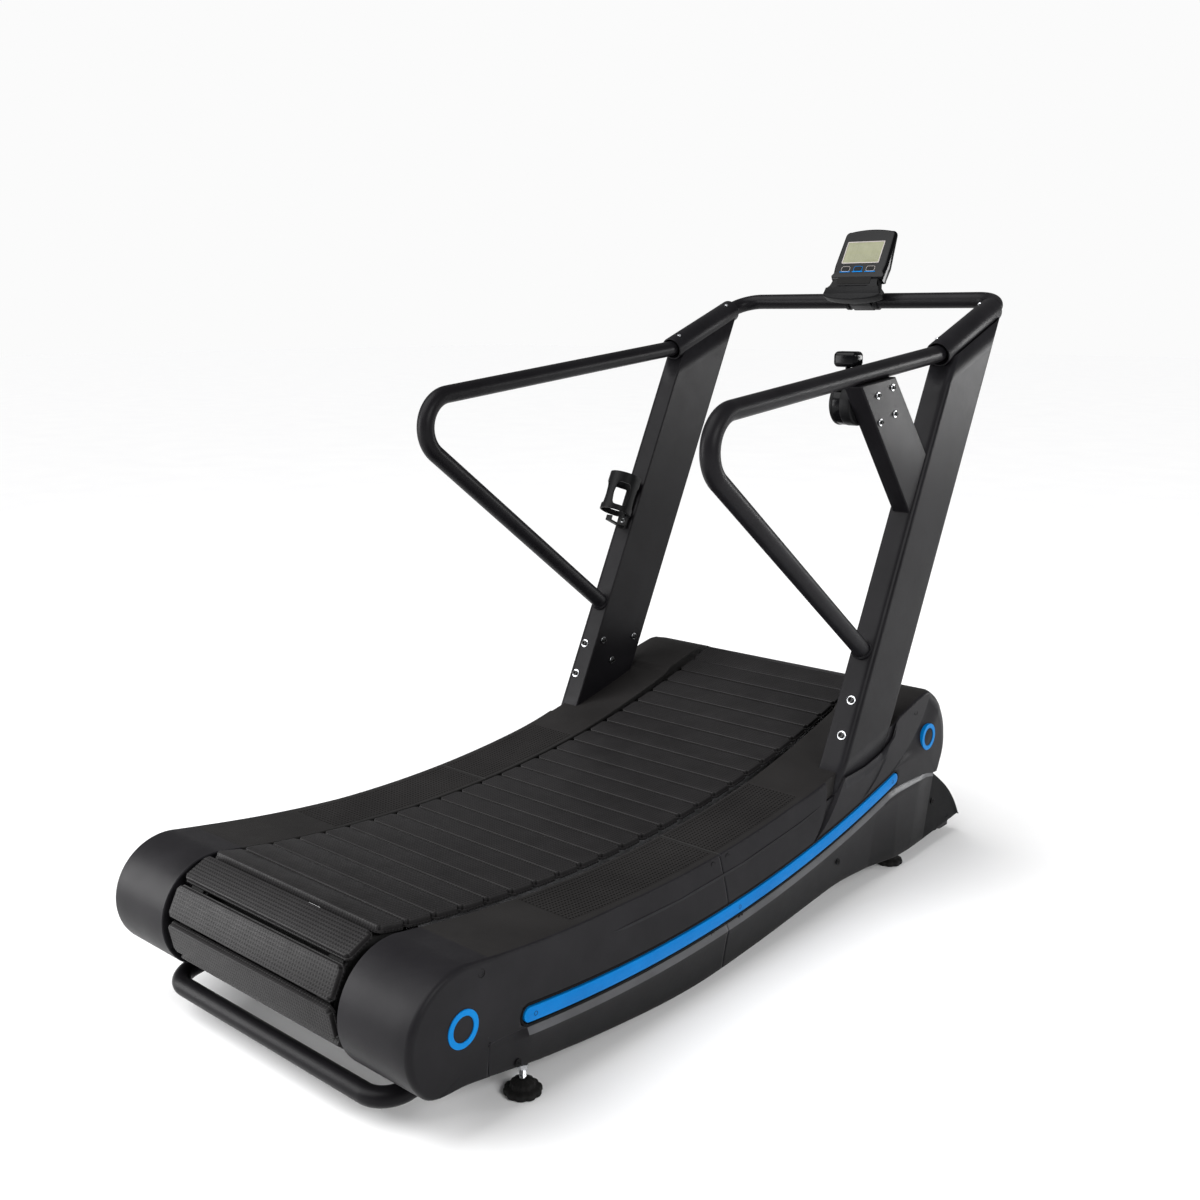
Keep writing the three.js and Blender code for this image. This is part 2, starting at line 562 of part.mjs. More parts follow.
function brakeYoke() {
  const rim = FRONT.y - FLYWHEEL.radius;
  const side = (x0, x1) => slab([[YOKE.y - 12, YOKE.z - 10], [rim + 22, YOKE.z - 18], [rim + 22, YOKE.z + 26],
    [YOKE.y - 12, YOKE.z + 12]], x0, x1);
  const bridge = block(FLYWHEEL.inner - 9, FLYWHEEL.outer + 9, YOKE.y - 12, YOKE.y + 12, YOKE.z - 10, YOKE.z + 12);
  const body = join(side(FLYWHEEL.inner - 9, FLYWHEEL.inner - 2), side(FLYWHEEL.outer + 2, FLYWHEEL.outer + 9), bridge);
  return join(body, rod(6, FLYWHEEL.inner - 12, RAIL.inner - GAP, YOKE.y, YOKE.z, 16));
}

// ---------------------------------------------------------------- console
// The console's own axes: u across, v up its face, w out of its face.
const CONSOLE_FRAME = new THREE.Matrix4().makeBasis(
  new THREE.Vector3(1, 0, 0),
  new THREE.Vector3(0, Math.sin(CONSOLE.tilt), Math.cos(CONSOLE.tilt)),
  new THREE.Vector3(0, -Math.cos(CONSOLE.tilt), Math.sin(CONSOLE.tilt)),
).setPosition(0, CROSSBAR.y - CONSOLE.offset * Math.cos(CONSOLE.tilt), CROSSBAR.z + CONSOLE.offset * Math.sin(CONSOLE.tilt));

// A plate in the console's axes: a Shape over u and v, from w0 to w1.
function plate(shape, w0, w1, curveSegments = 6) {
  const geometry = new THREE.ExtrudeGeometry(shape, { depth: w1 - w0, bevelEnabled: false, curveSegments });
  return solid(geometry.translate(0, 0, w0).applyMatrix4(CONSOLE_FRAME));
}

function rectangle(u0, u1, v0, v1) {
  return new THREE.Shape([[u0, v0], [u1, v0], [u1, v1], [u0, v1]].map(([u, v]) => new THREE.Vector2(u, v)));
}

// An outline over v and w, run across u0 to u1.
function consoleBar(outline, u0, u1) {
  const shape = new THREE.Shape(outline.map(([v, w]) => new THREE.Vector2(v, w)));
  const geometry = new THREE.ExtrudeGeometry(shape, { depth: u1 - u0, bevelEnabled: false });
  const turn = new THREE.Matrix4().makeBasis(vec(0, 1, 0), vec(0, 0, 1), vec(1, 0, 0));
  return solid(geometry.applyMatrix4(turn).translate(u0, 0, 0).applyMatrix4(CONSOLE_FRAME));
}

function consoleCase() {
  const half = CONSOLE.width / 2;
  const { low, high, thick, thin } = CONSOLE;
  const outline = new THREE.Shape();
  outline.moveTo(-half + 4, low);
  outline.lineTo(half - 4, low);
  outline.lineTo(half, low + 40);
  outline.lineTo(half - 3, high - 18);
  outline.quadraticCurveTo(half - 5, high - 6, half - 18, high - 6);
  outline.quadraticCurveTo(0, high + 6, -half + 18, high - 6);
  outline.quadraticCurveTo(-half + 5, high - 6, -half + 3, high - 18);
  outline.lineTo(-half, low + 40);
  const side = consoleBar([[low - 1, 0], [high + 1, 0], [high + 1, -thin], [low + 34, -thick], [low - 1, -thick]],
    -half - 1, half + 1);
  const lens = plate(rectangle(-LCD.width / 2, LCD.width / 2, LCD.low, LCD.high), -2.4, 1);
  const wells = [-1, 0, 1].map((k) => buttonPlate(k, 0.3, -6, 1));
  return cut(plate(outline, -thick, 0).intersect(side), lens, ...wells, hatch(GAP, 3, 2));
}

function buttonPlate(k, margin, w0, w1) {
  const u = k * BUTTON.pitch;
  const half = BUTTON.width / 2 + margin;
  const tall = BUTTON.height / 2 + margin;
  return plate(rectangle(u - half, u + half, BUTTON.v - tall, BUTTON.v + tall), w0, w1);
}

// A plate let into the sloping back of the case, grown by margin.
function hatch(margin, depth, proud) {
  const { low, high, thick, thin } = CONSOLE;
  const back = (v) => -thick + ((thick - thin) * (v - low - 34)) / (high - low - 33);
  const v0 = low + 42 - margin;
  const v1 = low + 86 + margin;
  const outline = [[v0, back(v0) - proud], [v0, back(v0) + depth], [v1, back(v1) + depth], [v1, back(v1) - proud]];
  return consoleBar(outline, -24 - margin, 24 + margin);
}

function consoleMount() {
  const half = CONSOLE.width / 2 + 3;
  const top = CONSOLE.low - GAP;
  const apron = consoleBar([[top, 2], [top, -CONSOLE.thick], [-8, -CONSOLE.offset + 8], [-26, -CONSOLE.offset + 8],
    [-38, -36], [-40, 4], [-36, 16], [-6, 16], [-6, 11], [-26, 9], [-28, 2], [-2, -1]], -half, half);
  const neck = consoleBar([[top - 14, -CONSOLE.thick + 4], [24, -CONSOLE.offset - 22], [-24, -CONSOLE.offset - 22],
    [-24, -CONSOLE.offset + 20]], -34, 34);
  const bar = rod(HANDLE.radius + GAP, -half - 1, half + 1, CROSSBAR.y, CROSSBAR.z, 28);
  return join(apron, neck).subtract(bar);
}

// ---------------------------------------------------------------- casings
const END_DISTANCE = LEDGE_RADIUS + COVER.end;
function endCentre(angle) {
  return { y: RUN.y + END_DISTANCE * Math.sin(angle), z: RUN.z - END_DISTANCE * Math.cos(angle) };
}

// The side outline of both casings of one side, drawn in by inset; the hollow runs out through the bottom.
function coverOutline(inset) {
  const rear = endCentre(-REAR_TANGENT);
  const front = endCentre(FRONT_TANGENT);
  const radius = COVER.end - inset;
  const ledge = circleOutline(RUN.y, RUN.z, LEDGE_RADIUS + inset, -Math.PI / 2 - REAR_TANGENT,
    -Math.PI / 2 + FRONT_TANGENT, 14);
  const rearEnd = circleOutline(rear.y, rear.z, radius, rad(-140), rad(-270) - REAR_TANGENT, 9);
  const frontEnd = circleOutline(front.y, front.z, radius, Math.PI / 2 + FRONT_TANGENT, rad(-58), 9);
  const lobe = [[1636, 160], [1680, 122], [1708, 86], [1726, 44]].map(([y, z]) => [y - inset, z - inset]);
  const sill = [[1445, 31], [1151, 51], [865, 28], [664, 20], [434, 36], [234, 68], [80, 104]];
  const bottom = sill.map(([y, z]) => [y, z - 3 * inset]);
  return [...rearEnd, ...ledge.slice(1), ...frontEnd.slice(1), ...lobe, ...bottom];
}

function casing() {
  const bevel = { thickness: COVER.bevel, size: COVER.draft };
  const margin = COVER.bevel + 10;
  const whole = slab(coverOutline(0), COVER.inner - margin, COVER.flank, bevel);
  const hollow = slab(coverOutline(COVER.wall), COVER.inner - margin - 1, COVER.flank - COVER.wall,
    { thickness: COVER.bevel, size: COVER.draft });
  const keep = block(COVER.inner, COVER.flank + 1, -100, 1800, -50, 500);
  const well = postBar(-1.2, -200, 200).intersect(block(0, POST.outer + 1.6, 900, 1600, 200, 500));
  return cut(whole.subtract(hollow).intersect(keep), well);
}

function casingHalf(front) {
  const y0 = front ? COVER.seam + GAP : -100;
  const y1 = front ? 1800 : COVER.seam - GAP;
  return casing().intersect(block(COVER.inner - 1, COVER.flank + 4, y0, y1, -50, 500));
}

function stripe() {
  const angle = (y) => Math.asin((y - RUN.y) / STRIPE.radius) - Math.PI / 2;
  const from = angle(STRIPE.from);
  const to = angle(STRIPE.to);
  const upper = circleOutline(RUN.y, RUN.z, STRIPE.radius - STRIPE.half, from, to, 24);
  const lower = circleOutline(RUN.y, RUN.z, STRIPE.radius + STRIPE.half, to, from, 24);
  const x = COVER.flank + GAP;
  return slab([...upper, ...lower], x, x + STRIPE.thickness);
}

function ring(axis) {
  const x = COVER.flank + GAP;
  const { outer, inner, thickness } = RING;
  const profile = [[inner, x], [outer, x], [outer, x + thickness], [inner, x + thickness]];
  return solid(turned(profile, 20).rotateY(Math.PI / 2).translate(0, axis.y, axis.z));
}

// ---------------------------------------------------------------- feet, wheels and bottle cage
function foot(y) {
  const { pad, pad_height, stud, stud_top } = FOOT;
  const geometry = turned([[0, 0], [pad - 3, 0], [pad, 4], [pad, pad_height - 8], [pad - 8, pad_height],
    [stud, pad_height + 3], [stud, stud_top], [0, stud_top]], 16);
  const nut = new THREE.CylinderGeometry(11, 11, 9, 6).rotateX(Math.PI / 2).translate(0, 0, FOOT.nut);
  return join(solid(geometry), solid(nut)).translate([FOOT.x, y, 0]);
}

function transportWheel() {
  const { radius, inner, outer, pin } = WHEEL;
  const profile = [[pin + AXLE.fit, inner], [14, inner], [16, inner + 5], [radius - 8, inner + 5],
    [radius - 2, inner + 1], [radius, inner + 4], [radius, outer - 4], [radius - 2, outer - 1],
    [radius - 8, outer - 5], [16, outer - 5], [14, outer], [pin + AXLE.fit, outer]];
  return solid(turned(profile, 18).rotateY(Math.PI / 2).translate(0, WHEEL.y, WHEEL.z));
}

function wheelPin() {
  const head = rod(11, WHEEL.inner - 7, WHEEL.inner - 1, WHEEL.y, WHEEL.z, 16);
  return join(head, rod(WHEEL.pin, WHEEL.inner - 5, RAIL.outer - 1, WHEEL.y, WHEEL.z, 16));
}

function bottleCage() {
  const { radius, wall, height } = CAGE;
  const out = radius + wall + 5;
  const along = (CAGE.z - POST.foot_z) / Math.cos(POST.lean);
  const ringOf = (z0, z1) => turned([[radius, z0], [radius + wall, z0], [radius + wall, z1], [radius, z1]], 16).translate(0, out, 0);
  const bar = (x0, x1, y0, y1, z0, z1) => new THREE.BoxGeometry(x1 - x0, y1 - y0, z1 - z0)
    .translate((x0 + x1) / 2, (y0 + y1) / 2, (z0 + z1) / 2);
  const parts = [ringOf(height - 26, height), ringOf(26, 40), bar(-15, 15, 0.5, 7, 0, height),
    bar(-9, 9, 5, out + 18, 0, 4), bar(-9, 9, out + 14, out + 18, 0, 14),
    bar(-12, 12, out + radius - 1, out + radius + wall - 0.4, 30, height - 10),
    bar(radius - 2, radius + wall - 0.5, out - 11, out + 11, 30, height - 10),
    bar(-radius - wall + 0.5, -radius + 2, out - 11, out + 11, 30, height - 10)];
  const place = postPlace(CAGE.x);
  const lift = new THREE.Matrix4().makeTranslation(0, 0, along);
  return join(...parts.map((part) => solid(part.applyMatrix4(lift).applyMatrix4(place))));
}

// ---------------------------------------------------------------- assembly
// A square tube from rail to rail, about (y, z).
function squareTube(y, z, half, wall) {
  const end = RAIL.inner - GAP;
  const bore = half - wall;
  const hollow = block(-end - 1, end + 1, y - bore, y + bore, z - bore, z + bore);
  return block(-end, end, y - half, y + half, z - half, z + half).subtract(hollow);
}

function crossTube([y, z]) {
  return squareTube(y, z, CROSS_TUBE.half, CROSS_TUBE.wall);
}

function footTube(y, low) {
  return squareTube(y, low + FOOT_TUBE.half, FOOT_TUBE.half, FOOT_TUBE.wall);
}

addPair("side_rail", sideRail(), PAINT);
add("rear_foot_tube", footTube(FOOT.rear, FOOT_TUBE.rear), PAINT);
add("rear_cross_tube", crossTube(CROSS_TUBE.rear), PAINT);
add("front_cross_tube", crossTube(CROSS_TUBE.front), PAINT);
add("front_foot_tube", footTube(FOOT.front, FOOT_TUBE.front), PAINT);
addPair("roller_track", rollerTrack(), GREY_STEEL);

for (const [end, axis] of [["rear", REAR], ["front", FRONT]]) {
  add(end + "_drum", drum(axis), GREY_STEEL);
  const reach = end === "front" ? FLYWHEEL.outer + 12 : BEARING.outer + 8;
  add(end + "_axle", rod(AXLE.radius, -BEARING.outer - 8, reach, axis.y, axis.z), STEEL);
  addPair(end + "_bearing", bearingBlock(axis), GREY_STEEL);
}
add("flywheel", flywheel(), GREY_STEEL);
add("brake_yoke", brakeYoke(), GREY_STEEL);

add("belt_top_run", topRun(), RUBBER);
add("belt_rear_wrap", wrapRun(REAR, REAR_START, 1), RUBBER);
add("belt_front_wrap", wrapRun(FRONT, FRONT_START, -1), RUBBER);
add("belt_return_run", returnRun(), RUBBER);

addPair("rear_cover", casingHalf(false), SHELL);
addPair("front_cover", casingHalf(true), SHELL);
addPair("accent_strip", stripe(), BLUE);
addPair("rear_ring", ring(REAR), BLUE);
addPair("front_ring", ring(FRONT), BLUE);

addPair("post", post(), PAINT);
addPair("sleeve", sleeve(), PAINT);
addPair("handle", handle(), PAINT);
add("crossbar", crossbar(), PAINT);
add("lift_bar", liftBar(), PAINT);

add("resistance_bracket", resistanceBracket(), PAINT);
add("lever_housing", leverHousing(), SHELL);
add("lever_arm", leverArm(), STEEL);
add("lever_knob", leverKnob(), SHELL);

add("console_mount", consoleMount(), SHELL);
add("console_case", consoleCase(), SHELL);
add("console_lens", plate(rectangle(GAP - LCD.width / 2, LCD.width / 2 - GAP, LCD.low + GAP, LCD.high - GAP), GAP - 2.4, 0.2), SCREEN);
["left", "middle", "right"].forEach((side, i) => {
  add("console_button_" + side, buttonPlate(i - 1, 0, -4, 0.8), SHELL);
});
add("battery_door", hatch(0, 3 - GAP, 0), SHELL);

for (const [end, y] of [["rear", FOOT.rear], ["front", FOOT.front]]) {
  addPair(end + "_foot", foot(y), RUBBER);
}
addPair("transport_wheel", transportWheel(), RUBBER);
addPair("wheel_pin", wheelPin(), STEEL);
add("bottle_cage", bottleCage(), SHELL);

const treadmill = new THREE.Group();
treadmill.name = "curved_treadmill";
const box = new THREE.Box3().setFromObject(pieces);
pieces.position.y = -(box.min.y + box.max.y) / 2;
treadmill.add(pieces);

export default treadmill;
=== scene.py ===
import json
import math

import bmesh
import bpy
import numpy as np
from mathutils import Matrix, Vector


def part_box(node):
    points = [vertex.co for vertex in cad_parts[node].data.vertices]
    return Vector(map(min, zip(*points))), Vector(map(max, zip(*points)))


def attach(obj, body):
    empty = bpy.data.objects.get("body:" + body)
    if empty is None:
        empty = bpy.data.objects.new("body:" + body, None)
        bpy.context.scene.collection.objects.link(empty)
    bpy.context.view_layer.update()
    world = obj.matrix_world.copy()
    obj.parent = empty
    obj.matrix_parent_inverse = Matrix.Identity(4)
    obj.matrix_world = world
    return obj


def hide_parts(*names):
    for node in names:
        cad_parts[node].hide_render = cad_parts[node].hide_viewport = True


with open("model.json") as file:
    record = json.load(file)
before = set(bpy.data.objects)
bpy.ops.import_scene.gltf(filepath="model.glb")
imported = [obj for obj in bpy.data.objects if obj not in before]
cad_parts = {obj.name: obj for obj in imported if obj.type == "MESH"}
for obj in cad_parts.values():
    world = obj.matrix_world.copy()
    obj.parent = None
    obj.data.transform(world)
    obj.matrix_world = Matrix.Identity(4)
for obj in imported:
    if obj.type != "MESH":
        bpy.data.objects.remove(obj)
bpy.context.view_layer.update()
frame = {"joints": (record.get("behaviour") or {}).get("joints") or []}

# Curved manual treadmill. Lengths below are millimetres; every mesh is written in metres.
# Side-view places are (y, z), with y counted forward from a line 66 mm behind the rear drum's axis.
MM = 0.001


def joint_place(name):
    joint = next(j for j in frame["joints"] if j["name"] == name)
    return np.array(joint["pos_m"]) / MM


REAR_DRUM_Y = 66
BASE_Y = joint_place("rear_drum_spin")[1] - REAR_DRUM_Y


def axis_of(name):
    _, y, z = joint_place(name)
    return np.array([y - BASE_Y, z])


RUN = axis_of("belt_travel")
REAR = axis_of("rear_drum_spin")
FRONT = axis_of("front_drum_spin")
LEVER = axis_of("resistance_lever")


def edges(node):
    """A CAD node's box as ((x0, x1), (y0, y1), (z0, z1)) in this script's millimetres."""
    low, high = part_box(node)
    shift = (0, BASE_Y, 0)
    return [(low[k] / MM - shift[k], high[k] / MM - shift[k]) for k in range(3)]


# ---------------------------------------------------------------- driving dimensions
BELT_RADIUS = 3000  # running surface
SLAT = {"count": 59, "length": 450, "thick": 13, "gap": 4, "chamfer": 2.2, "corner": 7}
BAND = {"thick": 4, "width": 34, "x": 192, "tooth": 2.4}
WRAP = 90.4  # carrier belt's neutral line round a drum
NEUTRAL = BELT_RADIUS + SLAT["thick"] + BAND["thick"] / 2
TOP_SLATS = 23
WRAP_SLATS = 6
FIRST_GAP = math.radians(9.63)

LEDGE = 3007  # radius of the ledges' top
END = {"radius": 106, "rear_from": math.radians(220), "front_to": math.radians(-58)}
FLANK = 408  # how far out the side covers stand
STRIPE = {"radius": 3120, "half": 12.5, "from": 195, "to": 1395}
CHANNEL = {"lip": 19.2, "wall": 15.2, "floor": 403.6}
BAND_TOP, BAND_LOW = STRIPE["radius"] + 21, STRIPE["radius"] + 33
SEAM = 745  # where the rear cover meets the front one
INNER = 243  # the ledges' inner edge, beside the slats
PANEL = {"x0": 251, "x1": 371, "bays": [(346, 740), (750, 1040)], "deep": 2.6}
POST = {"inner": 345, "outer": 402, "lean": math.radians(26.2), "foot": (1170, 318), "depth": 166}
SLEEVE = {"x": 370, "rear": (1559, 1158), "front": (1814, 1254), "radius": 28.5, "bore": 25, "grip": 19.4}
TUBE = 19  # radius of the handles and the crossbar
HANDLE = {"knee": (603.6, 1059.3), "end": (1292, 533), "top_bend": 90, "bend": 70}
CROSSBAR = {"y": 1878.5, "z": 1278, "bend": 60}
CONSOLE = {"half": 75, "offset": 68, "tilt": math.radians(30), "low": 22, "high": 168, "thick": 28,
           "thin": 11}


# ---------------------------------------------------------------- mesh helpers
def ray(angle):
    """The unit direction at an angle in a plane."""
    return np.array([math.cos(angle), math.sin(angle)])


def to_metres(points):
    moved = np.asarray(points, float) + (0, BASE_Y, 0)
    return moved * MM


def tidy_mesh(mesh):
    """Merges doubled points and turns all faces outwards."""
    bm = bmesh.new()
    bm.from_mesh(mesh)
    bmesh.ops.remove_doubles(bm, verts=bm.verts, dist=2e-6)
    bmesh.ops.dissolve_degenerate(bm, edges=bm.edges, dist=1e-7)
    bmesh.ops.recalc_face_normals(bm, faces=bm.faces)
    bm.to_mesh(mesh)
    bm.free()


class Shape:
    """Gathers points and faces of one piece."""

    def __init__(self):
        self.points = []
        self.faces = []
        self.marks = []

    def add(self, points, faces, mark=0):
        start = len(self.points)
        self.points.extend(np.asarray(points, float).tolist())
        self.faces.extend([[start + i for i in f] for f in faces])
        self.marks.extend([mark] * len(faces))
        return self

    def placed(self, matrix):
        """The same shape moved by a 4x4 matrix whose lengths are millimetres."""
        moved = Shape()
        pts = np.asarray(self.points)
        pts = pts @ np.array(matrix.to_3x3()).T + np.array(matrix.translation)
        return moved.add(pts, self.faces)

    def mirrored(self):
        other = Shape()
        other.add(np.asarray(self.points) * (-1, 1, 1), [f[::-1] for f in self.faces])
        other.marks = list(self.marks)
        return other

    def take(self, other, mark=None):
        start = len(self.points)
        self.points.extend(other.points)
        self.faces.extend([[start + i for i in f] for f in other.faces])
        self.marks.extend(other.marks if mark is None else [mark] * len(other.faces))
        return self

    def build(self, name, smooth_angle=32):
        mesh = bpy.data.meshes.new(name)
        mesh.from_pydata(to_metres(self.points).tolist(), [], self.faces)
        mesh.polygons.foreach_set("material_index", self.marks)
        obj = bpy.data.objects.new(name, mesh)
        bpy.context.scene.collection.objects.link(obj)
        tidy_mesh(mesh)
        mesh.polygons.foreach_set("use_smooth", [True] * len(mesh.polygons))
        mesh.set_sharp_from_angle(angle=math.radians(smooth_angle))
        return obj


def grid_faces(rows, columns, close_rows=False, close_columns=False):
    """Quads of a grid of points stored row by row."""
    last_row = rows if close_rows else rows - 1
    last_column = columns if close_columns else columns - 1
    faces = []
    for i in range(last_row):
        for j in range(last_column):
            k = (i + 1) % rows
            m = (j + 1) % columns
            faces.append((i * columns + j, i * columns + m, k * columns + m, k * columns + j))
    return faces


def lathe(profile, segments=40, ripple=None):
    """A turned shape about +Z from [(radius, height), ...]; ripple(angle) scales the radius."""
    points = []
    for radius, height in profile:
        for k in range(segments):
            angle = 2 * math.pi * k / segments
            r = radius * (ripple(angle) if ripple else 1)
            points.append((r * math.cos(angle), r * math.sin(angle), height))
    return Shape().add(points, grid_faces(len(profile), segments, close_columns=True))


def facing(origin, direction, turn=0):
    """The matrix that takes +Z to a direction at an origin."""
    spin = Vector(direction).normalized().to_track_quat("Z", "Y").to_matrix().to_4x4()
    return Matrix.Translation(Vector(origin)) @ spin @ Matrix.Rotation(turn, 4, "Z")


def rounded(corners, radii, step=math.radians(6)):
    """A route through corners, with an arc of its own radius at each inner one."""
    corners = [np.array(c, float) for c in corners]
    route = [corners[0]]
    for i in range(1, len(corners) - 1):
        back = corners[i - 1] - corners[i]
        ahead = corners[i + 1] - corners[i]
        back /= np.linalg.norm(back)
        ahead /= np.linalg.norm(ahead)
        turn = math.pi - math.acos(float(np.clip(back @ ahead, -1, 1)))
        middle = back + ahead
        middle /= np.linalg.norm(middle)
        radius = radii[i - 1]
        centre = corners[i] + middle * radius / math.cos(turn / 2)
        start = corners[i] + back * radius * math.tan(turn / 2) - centre
        across = -middle - start * ((-middle) @ start) / (start @ start)
        across *= radius / np.linalg.norm(across)
        count = max(3, math.ceil(turn / step))
        for k in range(count + 1):
            angle = turn * k / count
            route.append(centre + start * math.cos(angle) + across * math.sin(angle))
    route.append(corners[-1])
    return np.array(route)


def swept(route, section, closed_section=True, caps=True, closed=False):
    """A section [(a, b), ...] carried along a route without twist."""
    route = np.asarray(route, float)
    count = len(route)
    ahead = np.roll(route, -1, axis=0) - route
    behind = route - np.roll(route, 1, axis=0)
    if not closed:
        ahead[-1] = behind[-1]
        behind[0] = ahead[0]
    unit = lambda v: v / np.linalg.norm(v)
    tangents = [unit(unit(a) + unit(b)) for a, b in zip(ahead, behind)]
    side = np.array([1.0, 0, 0]) if abs(tangents[0][0]) < 0.9 else np.array([0, 0, 1.0])
    points = []
    for centre, tangent in zip(route, tangents):
        side = unit(side - tangent * (side @ tangent))
        other = np.cross(tangent, side)
        points.extend(centre + side * a + other * b for a, b in section)
    width = len(section)
    shape = Shape().add(points, grid_faces(count, width, closed, closed_section))
    if caps and not closed:
        shape.faces.append(list(range(width))[::-1])
        shape.faces.append([(count - 1) * width + k for k in range(width)])
        shape.marks.extend([0, 0])
    return shape


def circle(radius, sides=32):
    step = 2 * math.pi / sides
    return [(radius * math.cos(step * k), radius * math.sin(step * k)) for k in range(sides)]


def prism(outline, low, high, place=None, edge=0.0, mark=0):
    """A plate over an outline in its own x and y, from height low to high, its two rims cut back by edge."""
    outline = np.asarray(outline, float)
    inside = inset(outline, edge) if edge else outline
    rows = [(inside, low), (outline, low + edge), (outline, high - edge), (inside, high)]
    if edge == 0:
        rows = [rows[0], rows[3]]
    points = [(*p, height) for ring, height in rows for p in ring]
    count = len(outline)
    shape = Shape().add(points, grid_faces(len(rows), count, close_columns=True), mark)
    shape.faces.append(list(range(count))[::-1])
    shape.faces.append([(len(rows) - 1) * count + k for k in range(count)])
    shape.marks.extend([mark, mark])
    if place is None:
        return shape
    moved = shape.placed(place)
    moved.marks = shape.marks
    return moved


def inset(outline, by):
    """A closed outline moved inwards by a small distance."""
    ahead = np.roll(outline, -1, axis=0) - outline
    behind = outline - np.roll(outline, 1, axis=0)
    ahead /= np.linalg.norm(ahead, axis=1)[:, None]
    behind /= np.linalg.norm(behind, axis=1)[:, None]
    turned = lambda v: np.stack([-v[:, 1], v[:, 0]], axis=1)
    normal = turned(ahead) + turned(behind)
    area = np.sum(outline[:, 0] * np.roll(outline[:, 1], -1) - np.roll(outline[:, 0], -1) * outline[:, 1])
    length = np.sum(normal * turned(ahead), axis=1)
    return outline + normal / length[:, None] * by * (1 if area > 0 else -1)


def box_outline(half_x, half_y, corner, steps=5):
    """A rectangle about the origin with rounded corners."""
    points = []
    for k, (sx, sy) in enumerate([(1, 1), (-1, 1), (-1, -1), (1, -1)]):
        for i in range(steps + 1):
            angle = math.pi / 2 * (k + i / steps)
            points.append((sx * (half_x - corner) + corner * math.cos(angle),
                           sy * (half_y - corner) + corner * math.sin(angle)))
    return points


# An outline's x, y and height become y, z and x.
SIDE_VIEW = Matrix(((0, 0, 1, 0), (1, 0, 0, 0), (0, 1, 0, 0), (0, 0, 0, 1)))


def bevel(obj, width, segments=3, angle=30):
    modifier = obj.modifiers.new("soft edges", "BEVEL")
    modifier.width = width * MM
    modifier.segments = segments
    modifier.limit_method = "ANGLE"
    modifier.angle_limit = math.radians(angle)
    modifier.harden_normals = False


def thicken(obj, wall):
    modifier = obj.modifiers.new("wall", "SOLIDIFY")
    modifier.thickness = wall * MM
    modifier.offset = -1
    modifier.use_even_offset = False


# ---------------------------------------------------------------- materials
class Nodes:
    """A small helper to write a node tree in order."""

    def __init__(self, name):
        self.material = bpy.data.materials.new(name)
        self.material.use_nodes = True
        self.tree = self.material.node_tree
        self.shader = next(n for n in self.tree.nodes if n.type == "BSDF_PRINCIPLED")

    def add(self, kind, inputs=None, **settings):
        node = self.tree.nodes.new(kind)
        for key, value in settings.items():
            setattr(node, key, value)
        for key, value in (inputs or {}).items():
            self.feed(node.inputs[key], value)
        return node

    def feed(self, socket, value):
        if isinstance(value, bpy.types.NodeSocket):
            self.tree.links.new(value, socket)
        else:
            socket.default_value = value

    def math(self, operation, *values, clamp=False):
        node = self.add("ShaderNodeMath", operation=operation, use_clamp=clamp)
        for socket, value in zip(node.inputs, values):
            self.feed(socket, value)
        return node.outputs[0]

    def ramp(self, factor, stops):
        node = self.add("ShaderNodeValToRGB", {"Fac": factor})
        ramp = node.color_ramp
        while len(ramp.elements) < len(stops):
            ramp.elements.new(0.5)
        for element, (place, value) in zip(ramp.elements, stops):
            element.position = place
            element.color = value if len(value) == 4 else (*value, 1)
        return node.outputs["Color"]

    def noise(self, scale, detail=4.0, rough=0.55, stretch=(1, 1, 1)):
        spot = self.add("ShaderNodeTexCoord").outputs["Object"]
        place = self.add("ShaderNodeMapping", {"Vector": spot, "Scale": stretch})
        noise = self.add("ShaderNodeTexNoise", {"Vector": place.outputs[0], "Scale": scale, "Detail": detail,
                                                "Roughness": rough})
        return noise.outputs["Fac"]

    def bump(self, height, strength, distance, normal=None):
        inputs = {"Height": height, "Strength": strength, "Distance": distance}
        if normal is not None:
            inputs["Normal"] = normal
        return self.add("ShaderNodeBump", inputs).outputs["Normal"]

    def edge_wear(self, low=0.52, high=0.62):
        """1 on sharp outer edges, 0 on flats."""
        point = self.add("ShaderNodeNewGeometry").outputs["Pointiness"]
        return self.risen(point, low, high)

    def risen(self, value, low, high):
        """0 where the value is low, 1 where it is high, and even steps between."""
        inputs = {"Value": value, "From Min": low, "From Max": high}
        return self.add("ShaderNodeMapRange", inputs).outputs["Result"]

    def mix(self, factor, a, b):
        node = self.add("ShaderNodeMix", data_type="RGBA")
        self.feed(node.inputs["Factor"], factor)
        self.feed(node.inputs[6], a if isinstance(a, bpy.types.NodeSocket) else (*a, 1))
        self.feed(node.inputs[7], b if isinstance(b, bpy.types.NodeSocket) else (*b, 1))
        return node.outputs[2]

    def set(self, **values):
        for key, value in values.items():
            self.feed(self.shader.inputs[key.replace("_", " ")], value)
        return self.material


